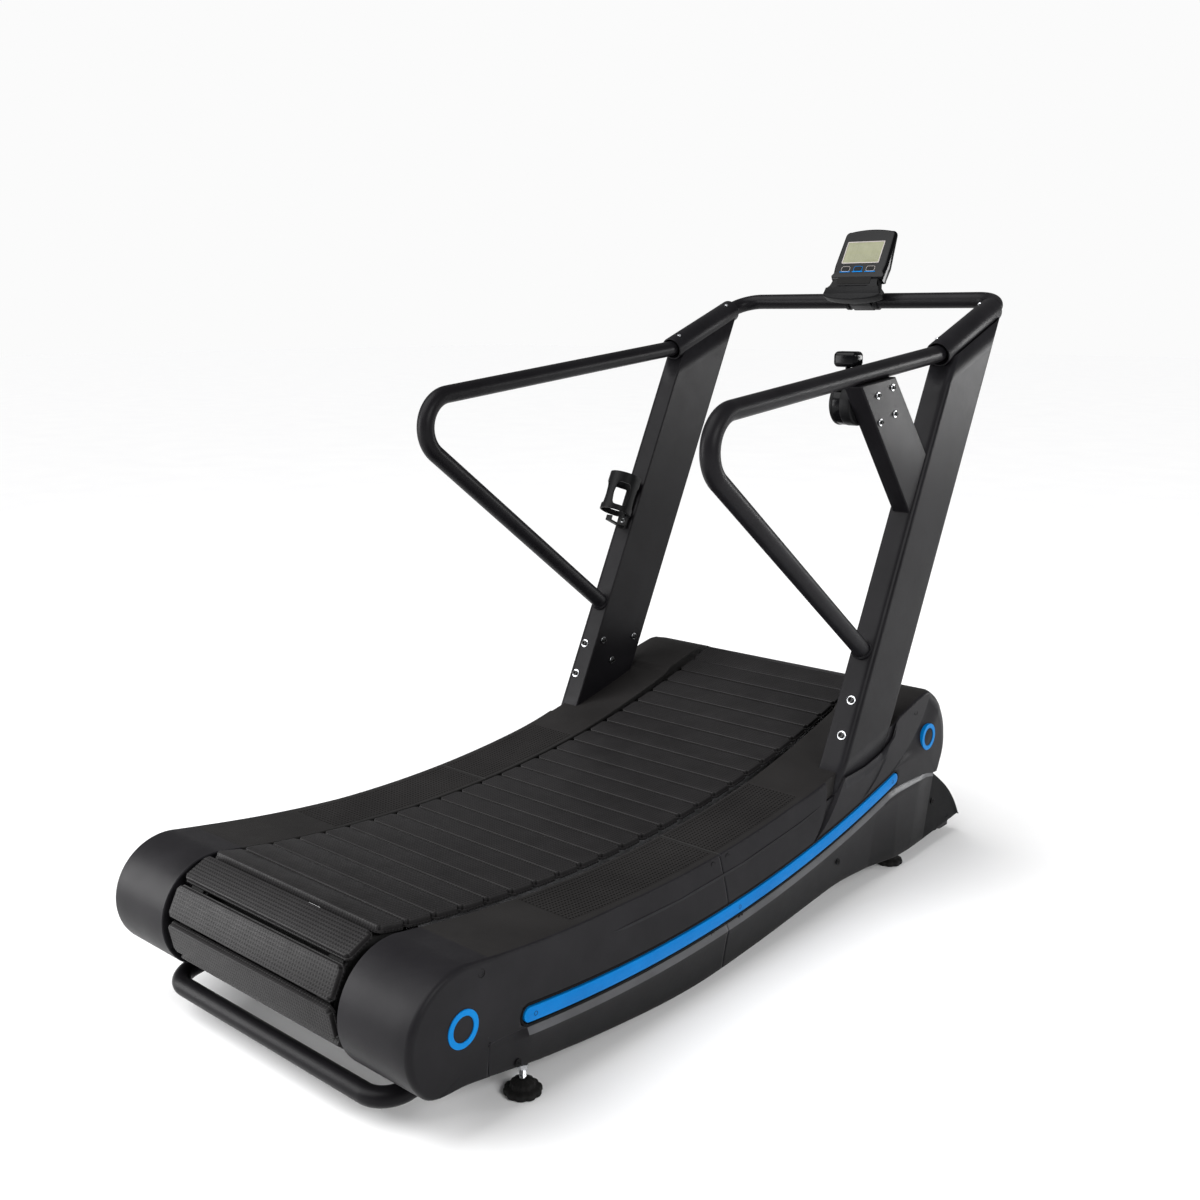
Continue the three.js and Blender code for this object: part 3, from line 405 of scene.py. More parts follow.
def grained(name, dark, light, rough, metal=0.0, cloud=9.0, grain=900.0, depth=0.25, wear=None, coat=0.0,
            coat_rough=0.3, specular=0.5, painted_shade=None):
    """Moulded or painted finish: clouded colour, uneven gloss, a fine orange-peel grain and rubbed edges, and
    optionally painted shade that darkens it below a height.
    """
    n = Nodes(name)
    clouds = n.noise(cloud, 5)
    fine = n.noise(grain, 2, 0.6)
    colour = n.ramp(clouds, [(0.32, dark), (0.7, light)])
    if painted_shade:  # painted shade: a darker tone below one height that clears by another, standing for the light falling off towards the bottom
        low, high, share = painted_shade
        spot = n.add("ShaderNodeTexCoord").outputs["Object"]
        height = n.add("ShaderNodeSeparateXYZ", {"Vector": spot}).outputs["Z"]
        colour = n.mix(n.risen(height, low, high), tuple(share * c for c in dark), colour)
    if wear:
        colour = n.mix(n.math("MULTIPLY", n.edge_wear(), n.noise(60, 3)), colour, wear)
    low, high = rough
    gloss = n.math("MULTIPLY_ADD", n.noise(23, 6), high - low, low)
    gloss = n.math("MULTIPLY_ADD", fine, 0.06, gloss)
    normal = n.bump(fine, depth, 0.0004)
    normal = n.bump(n.noise(70, 3), 0.06, 0.002, normal)
    return n.set(Base_Color=colour, Roughness=gloss, Metallic=metal, Normal=normal, Coat_Weight=coat,
                 Coat_Roughness=coat_rough, Specular_IOR_Level=specular)


def dimpled_rubber(name):
    """Slat tops: rows of small raised dots that follow the mesh's own pattern coordinates, in millimetres,
    with painted shade on the low ground between them.
    """
    n = Nodes(name)
    place = n.add("ShaderNodeUVMap", uv_map="pattern").outputs["UV"]
    split = n.add("ShaderNodeSeparateXYZ", {"Vector": place})
    pitch = 6.6  # millimetres between dots
    wave = []
    for axis in ("X", "Y"):
        turns = n.math("MULTIPLY", split.outputs[axis], 2 * math.pi * 1000 / pitch)
        wave.append(n.math("COSINE", turns))
    dots = n.math("MULTIPLY_ADD", n.math("ADD", *wave), 0.25, 0.5)
    dots = n.risen(dots, 0.22, 0.5)
    fine = n.noise(1300, 2, 0.7)
    dust = n.noise(14, 6, 0.65)
    colour = n.ramp(dust, [(0.3, (0.0118, 0.0110, 0.0114)), (0.72, (0.0185, 0.0174, 0.0180))])
    # painted shade: the low ground between the raised dots is darkened to near black
    colour = n.mix(n.math("MULTIPLY", n.math("SUBTRACT", 1.0, dots), 0.85), colour, (0.0016, 0.0015, 0.0016))
    colour = n.mix(n.math("MULTIPLY", n.edge_wear(0.53, 0.66), 0.35), colour, (0.03, 0.029, 0.03))
    gloss = n.math("MULTIPLY_ADD", n.noise(31, 5), 0.16, 0.42)
    normal = n.bump(dots, 0.75, 0.0007)
    normal = n.bump(fine, 0.2, 0.0003, normal)
    return n.set(Base_Color=colour, Roughness=gloss, Normal=normal, Specular_IOR_Level=0.16)


def brushed(name, colour, rough=0.26, stretch=(40, 40, 4)):
    """Bare or plated steel, with fine turned lines and faint stains."""
    n = Nodes(name)
    lines = n.noise(30, 4, 0.7, stretch)
    stain = n.noise(45, 5)
    tone = n.ramp(stain, [(0.3, tuple(c * 0.72 for c in colour)), (0.75, colour)])
    gloss = n.math("MULTIPLY_ADD", lines, 0.22, rough - 0.1)
    return n.set(Base_Color=tone, Metallic=1.0, Roughness=gloss, Normal=n.bump(lines, 0.15, 0.0003))


def cast(name, dark, light):
    """Cast metal with a sandy skin."""
    n = Nodes(name)
    sand = n.noise(420, 4, 0.7)
    patches = n.noise(18, 6)
    tone = n.ramp(patches, [(0.3, dark), (0.72, light)])
    tone = n.mix(n.math("MULTIPLY", n.edge_wear(), 0.5), tone, tuple(min(1, c * 2.4) for c in light))
    gloss = n.math("MULTIPLY_ADD", sand, 0.2, 0.38)
    return n.set(Base_Color=tone, Metallic=0.85, Roughness=gloss, Normal=n.bump(sand, 0.4, 0.0006))


def display(name):
    """Grey-green liquid crystal: faint segment ghosts behind a glossy film."""
    n = Nodes(name)
    spot = n.add("ShaderNodeTexCoord").outputs["Object"]
    split = n.add("ShaderNodeSeparateXYZ", {"Vector": spot})
    grid = n.math("ABSOLUTE", n.math("SINE", n.math("MULTIPLY", split.outputs["X"], 2 * math.pi / 0.03)))
    ghost = n.math("GREATER_THAN", grid, 0.96)
    haze = n.ramp(n.noise(25, 4), [(0.3, (0.185, 0.188, 0.118)), (0.72, (0.235, 0.238, 0.155))])
    tone = n.mix(n.math("MULTIPLY", ghost, 0.12), haze, (0.14, 0.142, 0.095))
    return n.set(Base_Color=tone, Roughness=n.math("MULTIPLY_ADD", n.noise(60, 3), 0.1, 0.2),
                 Specular_IOR_Level=0.1)


def floor_finish():
    n = Nodes("studio_floor")
    tone = n.ramp(n.noise(2.5, 3), [(0.3, (0.895, 0.895, 0.9)), (0.7, (0.915, 0.915, 0.915))])
    return n.set(Base_Color=tone, Roughness=0.75, Specular_IOR_Level=0.2)


LOOKS = {
    # satin_shell is darkened by height towards the sill: painted shade, not the part's own colour
    "shell": grained("satin_shell", (0.0092, 0.0087, 0.0100), (0.0140, 0.0133, 0.0150), (0.32, 0.42),
                     wear=(0.025, 0.025, 0.028), specular=0.08, painted_shade=(0.04, 0.20, 0.30)),
    "under": grained("shaded_shell", (0.0030, 0.0031, 0.0036), (0.0046, 0.0048, 0.0055), (0.42, 0.52),
                     wear=(0.012, 0.012, 0.014), specular=0.04),
    # the band's chamfer is a lighter copy of the shell colour: painted highlight
    "chamfer": grained("chamfer_painted_highlight", (0.052, 0.052, 0.056), (0.080, 0.081, 0.086), (0.30, 0.38),
                       wear=(0.07, 0.07, 0.075), specular=0.3),
    "ledge": grained("matt_ledge", (0.0125, 0.0117, 0.0116), (0.0185, 0.0174, 0.0172), (0.46, 0.58),
                     cloud=6.0, grain=1500.0, depth=0.5, wear=(0.03, 0.03, 0.03), specular=0.10),
    "channel": grained("channel_black", (0.0018, 0.0018, 0.0021), (0.0030, 0.0030, 0.0035), (0.36, 0.48),
                       specular=0.05),
    "blue": grained("blue_trim", (0.0004, 0.135, 0.42), (0.0010, 0.170, 0.50), (0.28, 0.38),
                    grain=1400.0, depth=0.12, wear=(0.005, 0.24, 0.58), specular=0.06),
    "paint": grained("black_powder_coat", (0.0055, 0.0051, 0.0060), (0.0090, 0.0085, 0.0098), (0.28, 0.38),
                     grain=1100.0, depth=0.3, wear=(0.025, 0.025, 0.028), specular=0.08),
    "plastic": grained("black_plastic", (0.0036, 0.0036, 0.0040), (0.0062, 0.0062, 0.0068), (0.30, 0.42),
                       grain=1600.0, depth=0.3, wear=(0.02, 0.02, 0.02), specular=0.08),
    "gloss": grained("gloss_black", (0.0020, 0.0020, 0.0024), (0.0034, 0.0034, 0.0041), (0.08, 0.16),
                     grain=1600.0, depth=0.05, specular=0.10),
    "frame": grained("brushed_frame", (0.34, 0.31, 0.295), (0.44, 0.41, 0.39), (0.3, 0.4),
                     depth=0.1, specular=0.2),
    "rubber": grained("moulded_rubber", (0.0045, 0.0044, 0.0042), (0.0085, 0.0082, 0.008), (0.58, 0.74),
                      grain=700.0, depth=0.5, wear=(0.025, 0.025, 0.025), specular=0.12),
    "slat": dimpled_rubber("dimpled_slat_rubber"),
    "steel": brushed("zinc_plated_steel", (0.56, 0.57, 0.59)),
    "socket": grained("black_oxide", (0.003, 0.003, 0.003), (0.008, 0.008, 0.0085), (0.3, 0.45),
                      specular=0.4),
    "hole": grained("sunk_black", (0.0012, 0.0012, 0.0013), (0.0024, 0.0024, 0.0026), (0.4, 0.55),
                    specular=0.12),
    "aluminium": cast("cast_aluminium", (0.17, 0.17, 0.175), (0.27, 0.27, 0.28)),
    "iron": cast("cast_iron", (0.035, 0.036, 0.038), (0.07, 0.07, 0.074)),
    "lcd": display("grey_green_display"),
    "ghost": grained("unlit_segments", (0.155, 0.158, 0.10), (0.19, 0.193, 0.125), (0.3, 0.4), depth=0.05),
}
SLOTS = {
    **dict.fromkeys(("shell", "under", "chamfer", "ledge", "channel"), "cover_shell"),
    **dict.fromkeys(("plastic", "gloss", "hole"), "black_plastic"),
    **dict.fromkeys(("frame", "steel", "socket"), "bright_steel"),
    **dict.fromkeys(("lcd", "ghost"), "screen_glass"),
    "blue": "blue_trim", "paint": "black_paint", "rubber": "black_rubber", "slat": "rubber_slat",
    "aluminium": "cast_aluminium", "iron": "cast_iron",
}


def dress(obj, body, looks, replaces=()):
    """Gives a piece its materials, its CAD body and the CAD nodes that it stands for."""
    looks = [looks] if isinstance(looks, str) else looks
    for look in looks:
        obj.data.materials.append(LOOKS[look])
    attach(obj, body)
    if replaces:
        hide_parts(*replaces)
    return obj


def both_sides(shape, name, body, looks, replaces="", smooth_angle=32):
    """The right-hand piece and its mirror image; replaces is the CAD nodes' shared name."""
    pair = []
    for side, form in (("right", shape), ("left", shape.mirrored())):
        obj = form.build(side + "_" + name, smooth_angle)
        nodes = [side + "_" + replaces] if replaces else []
        pair.append(dress(obj, body.replace("SIDE", side), looks, nodes))
    return pair


# ---------------------------------------------------------------- the slat belt
TANGENT_REAR = math.asin((RUN[0] - REAR[0]) / (NEUTRAL + WRAP))
TANGENT_FRONT = math.asin((FRONT[0] - RUN[0]) / (NEUTRAL + WRAP))
SPAN = FRONT - REAR
SLOPE = math.atan2(SPAN[1], SPAN[0])
LOOP = (NEUTRAL * (TANGENT_REAR + TANGENT_FRONT) + np.hypot(*SPAN)
        + WRAP * (2 * math.pi + TANGENT_REAR + TANGENT_FRONT))
PITCH = LOOP / SLAT["count"]
SLAT_WIDTH = PITCH * BELT_RADIUS / NEUTRAL - SLAT["gap"]


def slat_shape():
    """One slat about its own middle: x across the machine, y along the belt, z outwards from the band."""
    half_x = SLAT["length"] / 2
    half_y = SLAT_WIDTH / 2
    corner = SLAT["corner"]
    cut = [(half_x, half_y - corner), (half_x - corner, half_y), (corner - half_x, half_y),
           (-half_x, half_y - corner), (-half_x, corner - half_y), (corner - half_x, -half_y),
           (half_x - corner, -half_y), (half_x, corner - half_y)]
    base = BAND["thick"] / 2
    top = base + SLAT["thick"]
    edge = SLAT["chamfer"]
    outline = np.array(cut)
    skirt = 1.85  # the foot stands out by this much, which narrows the gap to the next slat
    rings = [(0, base), (-skirt, base + 0.8), (-skirt, base + 4.5), (0, base + 5), (0, top - edge),
             (0.5, top - edge * 0.45), (1.4, top - 0.35), (2.6, top)]
    points = [(*p, height) for by, height in rings for p in (inset(outline, by) if by else outline)]
    count = len(cut)
    shape = Shape().add(points, grid_faces(len(rings), count, close_columns=True))
    shape.faces += [list(range(count))[::-1], [(len(rings) - 1) * count + k for k in range(count)]]
    shape.marks += [0, 0]
    return shape


def on_belt(y, z, outward):
    """The matrix that stands a slat at (y, z), facing along an angle in the side view."""
    up = Vector((0, math.cos(outward), math.sin(outward)))
    along = Vector((0, math.sin(outward), -math.cos(outward)))
    across = along.cross(up)
    return Matrix.Translation((0, y, z)) @ Matrix((across, along, up)).transposed().to_4x4()


def band_shape(stations):
    """Both toothed bands through stations of (y, z, outward angle)."""
    shape = Shape()
    half = BAND["width"] / 2
    for x in (-BAND["x"], BAND["x"]):
        points = []
        for k, (y, z, outward) in enumerate(stations):
            out = ray(outward)
            low = -BAND["thick"] / 2 + (0.0 if k % 4 < 2 else BAND["tooth"] / 2)
            for across, height in ((-half, low), (half, low), (half, 2), (-half, 2)):
                points.append((x + across, *(np.array([y, z]) + out * height)))
        count = len(stations)
        shape.add(points, grid_faces(count, 4, close_columns=True), 1)
        shape.faces += [[3, 2, 1, 0], [4 * count - 4 + k for k in range(4)]]
        offset = len(shape.points) - len(points)
        shape.faces[-2:] = [[offset + i for i in f] for f in shape.faces[-2:]]
        shape.marks += [1, 1]
    return shape


def pattern_coordinates(obj, matrices):
    """Gives each slat's faces their own across-and-along coordinates, for the dots."""
    mesh = obj.data
    layer = mesh.uv_layers.new(name="pattern")
    inverse = [m.inverted() for m in matrices]
    centres = np.array([m.translation for m in matrices])
    for polygon in mesh.polygons:
        middle = np.array(polygon.center) / MM - (0, BASE_Y, 0)
        nearest = int(np.argmin(np.sum((centres[:, 1:] - middle[1:]) ** 2, axis=1)))
        for corner in polygon.loop_indices:
            spot = Vector(np.array(mesh.vertices[mesh.loops[corner].vertex_index].co) / MM - (0, BASE_Y, 0))
            local = inverse[nearest] @ spot
            layer.data[corner].uv = (local.x * MM, local.y * MM)


def belt_piece(name, node, body, slats, stations):
    shape = Shape()
    one = slat_shape()
    matrices = [on_belt(*s) for s in slats]
    for matrix in matrices:
        copy = one.placed(matrix)
        copy.marks = list(one.marks)
        shape.take(copy)
    shape.take(band_shape(stations))
    obj = shape.build(name, 24)
    pattern_coordinates(obj, matrices)
    return dress(obj, body, ["slat", "rubber"], [node])


def belt():
    turn = PITCH / NEUTRAL
    first = -FIRST_GAP - math.pi / 2

    def on_run(angle):
        return (*(RUN + NEUTRAL * ray(angle)), angle + math.pi)

    def round_drum(centre, angle):
        return (*(centre + WRAP * ray(angle)), angle)

    trim = SLAT["gap"] / 2 / NEUTRAL
    steps = TOP_SLATS * 16
    run_angles = np.linspace(first + trim, first + TOP_SLATS * turn - trim, steps)
    belt_piece("belt_top_run_slats", "belt_top_run", "top_run",
               [on_run(first + (k + 0.5) * turn) for k in range(TOP_SLATS)], [on_run(a) for a in run_angles])
    rear_lead = (NEUTRAL * (TANGENT_REAR - FIRST_GAP) - PITCH / 2) / WRAP
    front_lead = (NEUTRAL * (TANGENT_FRONT + FIRST_GAP) - (TOP_SLATS + 0.5) * PITCH) / WRAP
    starts = {"rear": (REAR, math.pi / 2 - TANGENT_REAR - rear_lead, 1),
              "front": (FRONT, math.pi / 2 + TANGENT_FRONT + front_lead, -1)}
    step = PITCH / WRAP
    half = (PITCH - SLAT["gap"]) / 2 / WRAP
    for end, (centre, start, way) in starts.items():
        last = start + way * step * (WRAP_SLATS - 1)
        angles = np.linspace(start - way * half, last + way * half, WRAP_SLATS * 16)
        belt_piece(f"belt_{end}_wrap_slats", f"belt_{end}_wrap", f"{end}_wrap",
                   [round_drum(centre, start + way * step * k) for k in range(WRAP_SLATS)],
                   [round_drum(centre, a) for a in angles])
    return_slats(starts["rear"][1] + step * (WRAP_SLATS - 1))


def return_slats(last_angle):
    down = SLOPE - math.pi / 2
    out = ray(down)
    ahead = ray(SLOPE)
    lead = WRAP * (3 * math.pi / 2 + SLOPE - last_angle)
    count = SLAT["count"] - TOP_SLATS - 2 * WRAP_SLATS

    def at(along):
        return (*(REAR + out * WRAP + ahead * along), down)

    slats = [at(PITCH * (k + 1) - lead) for k in range(count)]
    ends = (PITCH / 2 - lead + SLAT["gap"] / 2, PITCH * (count + 0.5) - lead - SLAT["gap"] / 2)
    belt_piece("belt_return_slats", "belt_return_run", "return_run", slats,
               [at(a) for a in np.linspace(*ends, count * 16)])


# ---------------------------------------------------------------- side covers
def smooth(value, low, high):
    t = np.clip((np.asarray(value, float) - low) / (high - low), 0, 1)
    return t * t * (3 - 2 * t)


def arc_point(radius, y):
    return RUN[1] - np.sqrt(radius ** 2 - (y - RUN[0]) ** 2)


def curve_through(points, count):
    """Points evenly along a smooth curve through a few given ones."""
    points = np.asarray(points, float)
    lengths = np.r_[0, np.cumsum(np.hypot(*np.diff(points, axis=0).T))]
    wanted = np.linspace(0, lengths[-1], count)
    slopes = np.gradient(points, lengths, axis=0)
    result = []
    for s in wanted:
        i = min(int(np.searchsorted(lengths, s, side="right")) - 1, len(points) - 2)
        span = lengths[i + 1] - lengths[i]
        t = (s - lengths[i]) / span
        h = (2 * t ** 3 - 3 * t * t + 1, t ** 3 - 2 * t * t + t, 3 * t * t - 2 * t ** 3, t ** 3 - t * t)
        result.append(h[0] * points[i] + h[1] * span * slopes[i]
                      + h[2] * points[i + 1] + h[3] * span * slopes[i + 1])
    return np.array(result)


REAR_END = RUN + (LEDGE + END["radius"]) * np.array([-math.sin(TANGENT_REAR), -math.cos(TANGENT_REAR)])
FRONT_END = RUN + (LEDGE + END["radius"]) * np.array([math.sin(TANGENT_FRONT), -math.cos(TANGENT_FRONT)])
SILL = [(-16.6, 124.8), (-7, 115), (8, 108.5), (30, 105.5), (60, 103.5), (100, 98), (164, 84), (234, 68),
        (434, 38), (664, 20.5), (865, 28), (1083, 45), (1151, 50), (1320, 42), (1445, 33), (1500, 33)]
SILL_FRONT = [(1500, 33), (1572, 36), (1640, 39), (1690, 41.5), (1724, 43.5)]
SILL_START = 118
LOBE_START = 1577
LOBE_TOP = [(LOBE_START, 191.5), (1600, 176), (1623, 160), (1664, 127), (1699, 89), (1726, 48)]
CHEEK = [(1171, 291), (1253, 294), (1325, 308), (1360, 322), (1379, 337), (1388, 350)]
CHEEK_ENDS = (1171, 1388)
WEDGE = (1116, 1171)  # the hollow behind the post's foot, where it meets the rim
WEDGE_FOOT = 1051
CREASE = {"angle": math.radians(88), "foot": 1350}
LEAN_END = 960  # the front cover's lines follow the run's rays up to here
ARC_END = 1330  # the band under the stripe, painted lighter as a highlight, leaves its arc here
LIFT_Y, LIFT_Z = [1060, 1160, 1385, 1400, 1480, 1545, 1700], [0, 3, 10, 18, 16, 9, 0]
FOOT_ARC = STRIPE["radius"] - 20  # the upper flank ends here, at the stripe's channel
FOOT_SHARE = (FOOT_ARC - LEDGE) / (BAND_TOP - LEDGE)
# Where a station's line starts on the rim, where it meets the channel, and how far its middle is bowed.
LINE_STARTS = [SEAM, LEAN_END, WEDGE[0], WEDGE[1], FRONT_END[0] - END["radius"] * math.sin(TANGENT_FRONT)
               + END["radius"] * (math.pi / 2 + TANGENT_FRONT - CREASE["angle"])]
LINE_FEET = [SEAM, LEAN_END, WEDGE_FOOT - 1.5, WEDGE_FOOT + 1.5, CREASE["foot"]]
LINE_BOWS = np.array([(0, 0), (0, 0), (35, -12), (3, -37), (54, -22)], float)


def band_top(y):
    """Height of the upper edge of the band under the stripe, whose lighter colour is a painted highlight."""
    y = np.asarray(y, float)
    rear = np.interp(y, [SILL_START, 150, 195], [149.5, 149, arc_point(BAND_TOP, 195)])
    main = np.where(y < 195, rear, arc_point(BAND_TOP, np.clip(y, 195, ARC_END)))
    front = np.interp(y, [1300, ARC_END, 1360, 1390, 1420, 1490, 1540, 1580],
                      [*arc_point(BAND_TOP, np.array([1300, ARC_END])), 203.5, 206.3, 207, 205, 201, 192])
    return np.where(y > ARC_END, front, main)


def radial(place, radius):
    """The place on another circle about the run's centre, on the same ray."""
    rel = np.asarray(place, float) - RUN
    return RUN + rel * radius / np.hypot(*rel)


class Station:
    """One cross line of a cover: its place on the rim and its bowed line down to the band."""

    def __init__(self, label, rim, band, foot=None, bow=(0, 0)):
        self.label = label
        self.rim = np.array(rim, float)
        self.band = np.array(band, float)
        self.foot = self.rim + (self.band - self.rim) * FOOT_SHARE if foot is None else np.array(foot, float)
        self.bow = np.array(bow, float)

    def line(self, start, shares):
        """Places on the bowed line from a start to the foot."""
        middle = (start + self.foot) / 2 + self.bow
        t = np.asarray(shares)[:, None]
        return start * (1 - t) ** 2 + 2 * middle * t * (1 - t) + self.foot * t * t


def rear_stations():
    """Round the rear end from the sill up to the ledge, and along it to the seam."""
    sill = curve_through(SILL, 500)
    under = sill[(sill[:, 0] > -14) & (sill[:, 0] < SILL_START)]
    under = under[np.argmax(under[:, 0])::-1][::2]
    around = np.array([REAR_END + END["radius"] * ray(t)
                       for t in np.linspace(END["rear_from"] - 0.05, math.pi / 2 - TANGENT_REAR, 48)])
    rim = curve_through(np.concatenate([under, around]), 84)
    made = [Station(-60 if k < len(under) else p[0], p, (SILL_START + 3 * k / len(rim), 149.5 + k / len(rim)))
            for k, p in enumerate(rim)]
    ys = np.linspace(rim[-1][0], SEAM - 1.1, 190)[1:]
    spread = smooth(ys, rim[-1][0], 300)
    band_y = (SILL_START + 3) * (1 - spread) + spread * ys
    band_y = np.maximum(band_y, radial_y(ys))
    for y, b in zip(ys, band_y):
        made.append(Station(y, (y, arc_point(LEDGE, y)), (b, band_top(b))))
    return made


def radial_y(y):
    """Where the ray through a rim place meets the band, once past the rear end."""
    y = np.asarray(y, float)
    met = RUN[0] + (y - RUN[0]) * BAND_TOP / LEDGE
    return np.where(y > 300, met, -1e3)


def front_stations():
    """From the seam along the ledge and over the bulge, round the front end to the lobe."""
    tangent = FRONT_END[0] - END["radius"] * math.sin(TANGENT_FRONT)
    crease = LINE_STARTS[-1]
    labels = np.r_[np.arange(SEAM + 1.1, WEDGE[0] - 2, 3.6), WEDGE[0] - 0.4, WEDGE[0] + 0.4,
                   np.linspace(WEDGE[0] + 5, WEDGE[1] - 5, 8), WEDGE[1] - 0.4, WEDGE[1] + 0.4,
                   np.arange(WEDGE[1] + 4, CHEEK_ENDS[1] - 2, 4.0), CHEEK_ENDS[1] - 0.4, CHEEK_ENDS[1] + 0.4,
                   np.arange(CHEEK_ENDS[1] + 4, crease - 2, 3.6), crease - 0.5, crease + 0.5]
    made = []
    for label in labels:
        rim = (label, arc_point(LEDGE, label))
        if label > tangent:
            turn = math.pi / 2 + TANGENT_FRONT - (label - tangent) / END["radius"]
            rim = FRONT_END + END["radius"] * ray(turn)
        y = float(np.interp(label, LINE_STARTS, LINE_FEET))
        if label < LEAN_END:
            y = max(y, RUN[0] + (label - RUN[0]) * 1.03)
        else:
            y += 0.03 * (LEAN_END - RUN[0]) * smooth(label, 1100, LEAN_END)
        foot = (y, arc_point(FOOT_ARC, y))
        bow = [np.interp(label, LINE_STARTS, LINE_BOWS[:, k]) for k in range(2)]
        band = radial(foot, BAND_TOP)
        if band[0] > ARC_END:
            band[1] = band_top(band[0])
        made.append(Station(label, rim, band, foot, bow))
    last_band = made[-1].band
    for angle in np.linspace(CREASE["angle"] - 0.03, END["front_to"], 60):
        way = (CREASE["angle"] - angle) / (CREASE["angle"] - END["front_to"])
        rim = FRONT_END + END["radius"] * ray(angle)
        b = last_band[0] + (LOBE_START - last_band[0]) * way
        band = np.array([b, band_top(b)])
        share = smooth(way, 0, 0.5)
        foot = radial(band, FOOT_ARC) * (1 - share) + (rim + (band - rim) * FOOT_SHARE) * share
        made.append(Station(crease + END["radius"] * (CREASE["angle"] - angle), rim, band, foot,
                            LINE_BOWS[-1] * (1 - smooth(way, 0, 0.35))))
    return made


def crease_line():
    rim = FRONT_END + END["radius"] * ray(CREASE["angle"])
    foot = (CREASE["foot"], arc_point(FOOT_ARC, CREASE["foot"]))
    return Station(0, rim, foot, foot, LINE_BOWS[-1]).line(rim, np.linspace(0, 1, 30))


def stripe_distance(points):
    """Distance from the stripe's middle line, whose ends are half circles."""
    rel = np.asarray(points, float) - RUN
    radius = np.hypot(*rel.T)
    angle = np.arctan2(rel[:, 0], -rel[:, 1])
    low, high = (math.asin((STRIPE[e] - RUN[0]) / STRIPE["radius"]) for e in ("from", "to"))
    half = STRIPE["half"] / STRIPE["radius"]
    past = np.maximum(np.maximum(low + half - angle, angle - high + half), 0) * STRIPE["radius"]
    return np.hypot(past, radius - STRIPE["radius"])


def line_distance(points, line):
    points = np.asarray(points, float)
    gaps = points[:, None] - line[None]
    return np.min(np.hypot(gaps[..., 0], gaps[..., 1]), axis=1)


def flank_x(station, points, shares):
    """How far out the flank stands along one station; shares run from 0 at the rim to 1 at the channel."""
    label = station.label
    fall = (1 - np.clip(shares, 0, 1)) ** 1.25
    draft = np.interp(label, [-40, 60, 240, 460, 1000, 1116], [0.5, 1.5, 9, 20, 20, 15])
    x = FLANK - 0.4 - draft * fall
    if WEDGE[0] < label < WEDGE[1]:
        x = FLANK - 5.5 - 14 * fall
    elif WEDGE[1] < label < LINE_STARTS[-1]:
        x = FLANK - 0.6 - 2.4 * fall
    elif label > LINE_STARTS[-1]:
        gap = line_distance(points, crease_line())
        swell = FLANK - 0.2 - 9.5 * (1 - smooth(gap, 0, 64))
        keep = smooth(shares, 0.8, 1)
        x = swell * (1 - keep) + (FLANK - 0.6) * keep
    return np.where(stripe_distance(points) < 17.2, CHANNEL["floor"] - 1.8, x)


LEDGE_COLUMNS = 7
ROUNDING = 7
FLANK_ROWS = np.linspace(0, 1, 18) ** 1.1
CHANNEL_ROWS = [(20 - q) / 41 for q in (19.6, 17.6, 16.2, 8, 0, -8, -16.2, -17.6, -19.4, -21)]


def rim_radius(station):
    label = station.label
    if station.rim[1] < 200 and label < 200:
        return float(np.interp(station.rim[1], [97, 104, 125, 160], [3, 6, 10, 11]))
    if label > LINE_STARTS[-1]:
        return float(np.interp(label, [1546, 1580, 1640, 1700, 1816], [9, 30, 44, 44, 20]))
    return float(np.interp(label, [-40, 60, 150, 1400, 1546], [11, 10, 5, 5, 8]))


def cover_station(station, inward):
    """One cross line of the skin: flange, ledge, rounded rim, flank."""
    rim, label = station.rim, station.label
    front_end = smooth(label, 1500, 1600)
    under = rim[1] < 150 and label < 200
    at = lambda x, depth: (x, *(rim + inward * depth))
    deep = PANEL["deep"] if any(a < rim[0] < b for a, b in PANEL["bays"]) and rim[1] > 200 else 0
    line = [at(INNER, 9 if under else 34 - 12 * front_end), at(INNER, 1.6), at(INNER + 1.6, 0),
            at(PANEL["x0"] - 0.4, 0), at(PANEL["x0"], deep), at(PANEL["x1"], deep), at(PANEL["x1"] + 0.4, 0)]
    if CHEEK_ENDS[0] < label < CHEEK_ENDS[1]:
        top = float(np.interp(label, [p[0] for p in CHEEK], [p[1] for p in CHEEK]))
        drop = 40
        line += [(399.2, *rim), (400.0, rim[0], rim[1] - 1.2), (400.3, rim[0], top - drop),
                 (404.2, rim[0], top - drop), (404.2, rim[0], top - 1.2), (404.5, rim[0], top - 0.4),
                 (405.2, rim[0], top), (405.6, rim[0], top - 0.3)]
        start = np.array([rim[0], top - 1.2])
        first = 0.0
    else:
        radius = rim_radius(station)
        length = float(np.hypot(*(station.foot - rim)))
        radius = min(radius, 0.5 * length)
        probe = station.line(rim, [0.0, 0.12])
        near = flank_x(station, probe, np.array([0.0, 0.12]))
        slope = math.atan2(max(0.0, near[1] - near[0]), 0.12 * length) if label < LINE_STARTS[-1] else 0.0
        first = radius * (1 - math.sin(slope)) / length
        start = rim
        edge = float(flank_x(station, station.line(rim, [first]), np.array([first]))[0])
        down = probe[1] - rim
        down /= np.hypot(*down)
        for k in range(ROUNDING + 1):
            angle = (math.pi / 2 - slope) * k / ROUNDING
            spot = rim + down * radius * (1 - math.cos(angle))
            line.append((edge - radius * (math.cos(slope) - math.sin(angle)), *spot))
        first += 1.5 / length
    shares = first + (1 - first) * FLANK_ROWS
    places = station.line(start, shares)
    rows = np.array(CHANNEL_ROWS)
    below = station.foot + (station.band - station.foot) * rows[:, None]
    places = np.concatenate([places, below])
    shares = np.concatenate([shares, np.ones(len(rows))])
    return line + [(x, *p) for x, p in zip(flank_x(station, places, shares), places)]


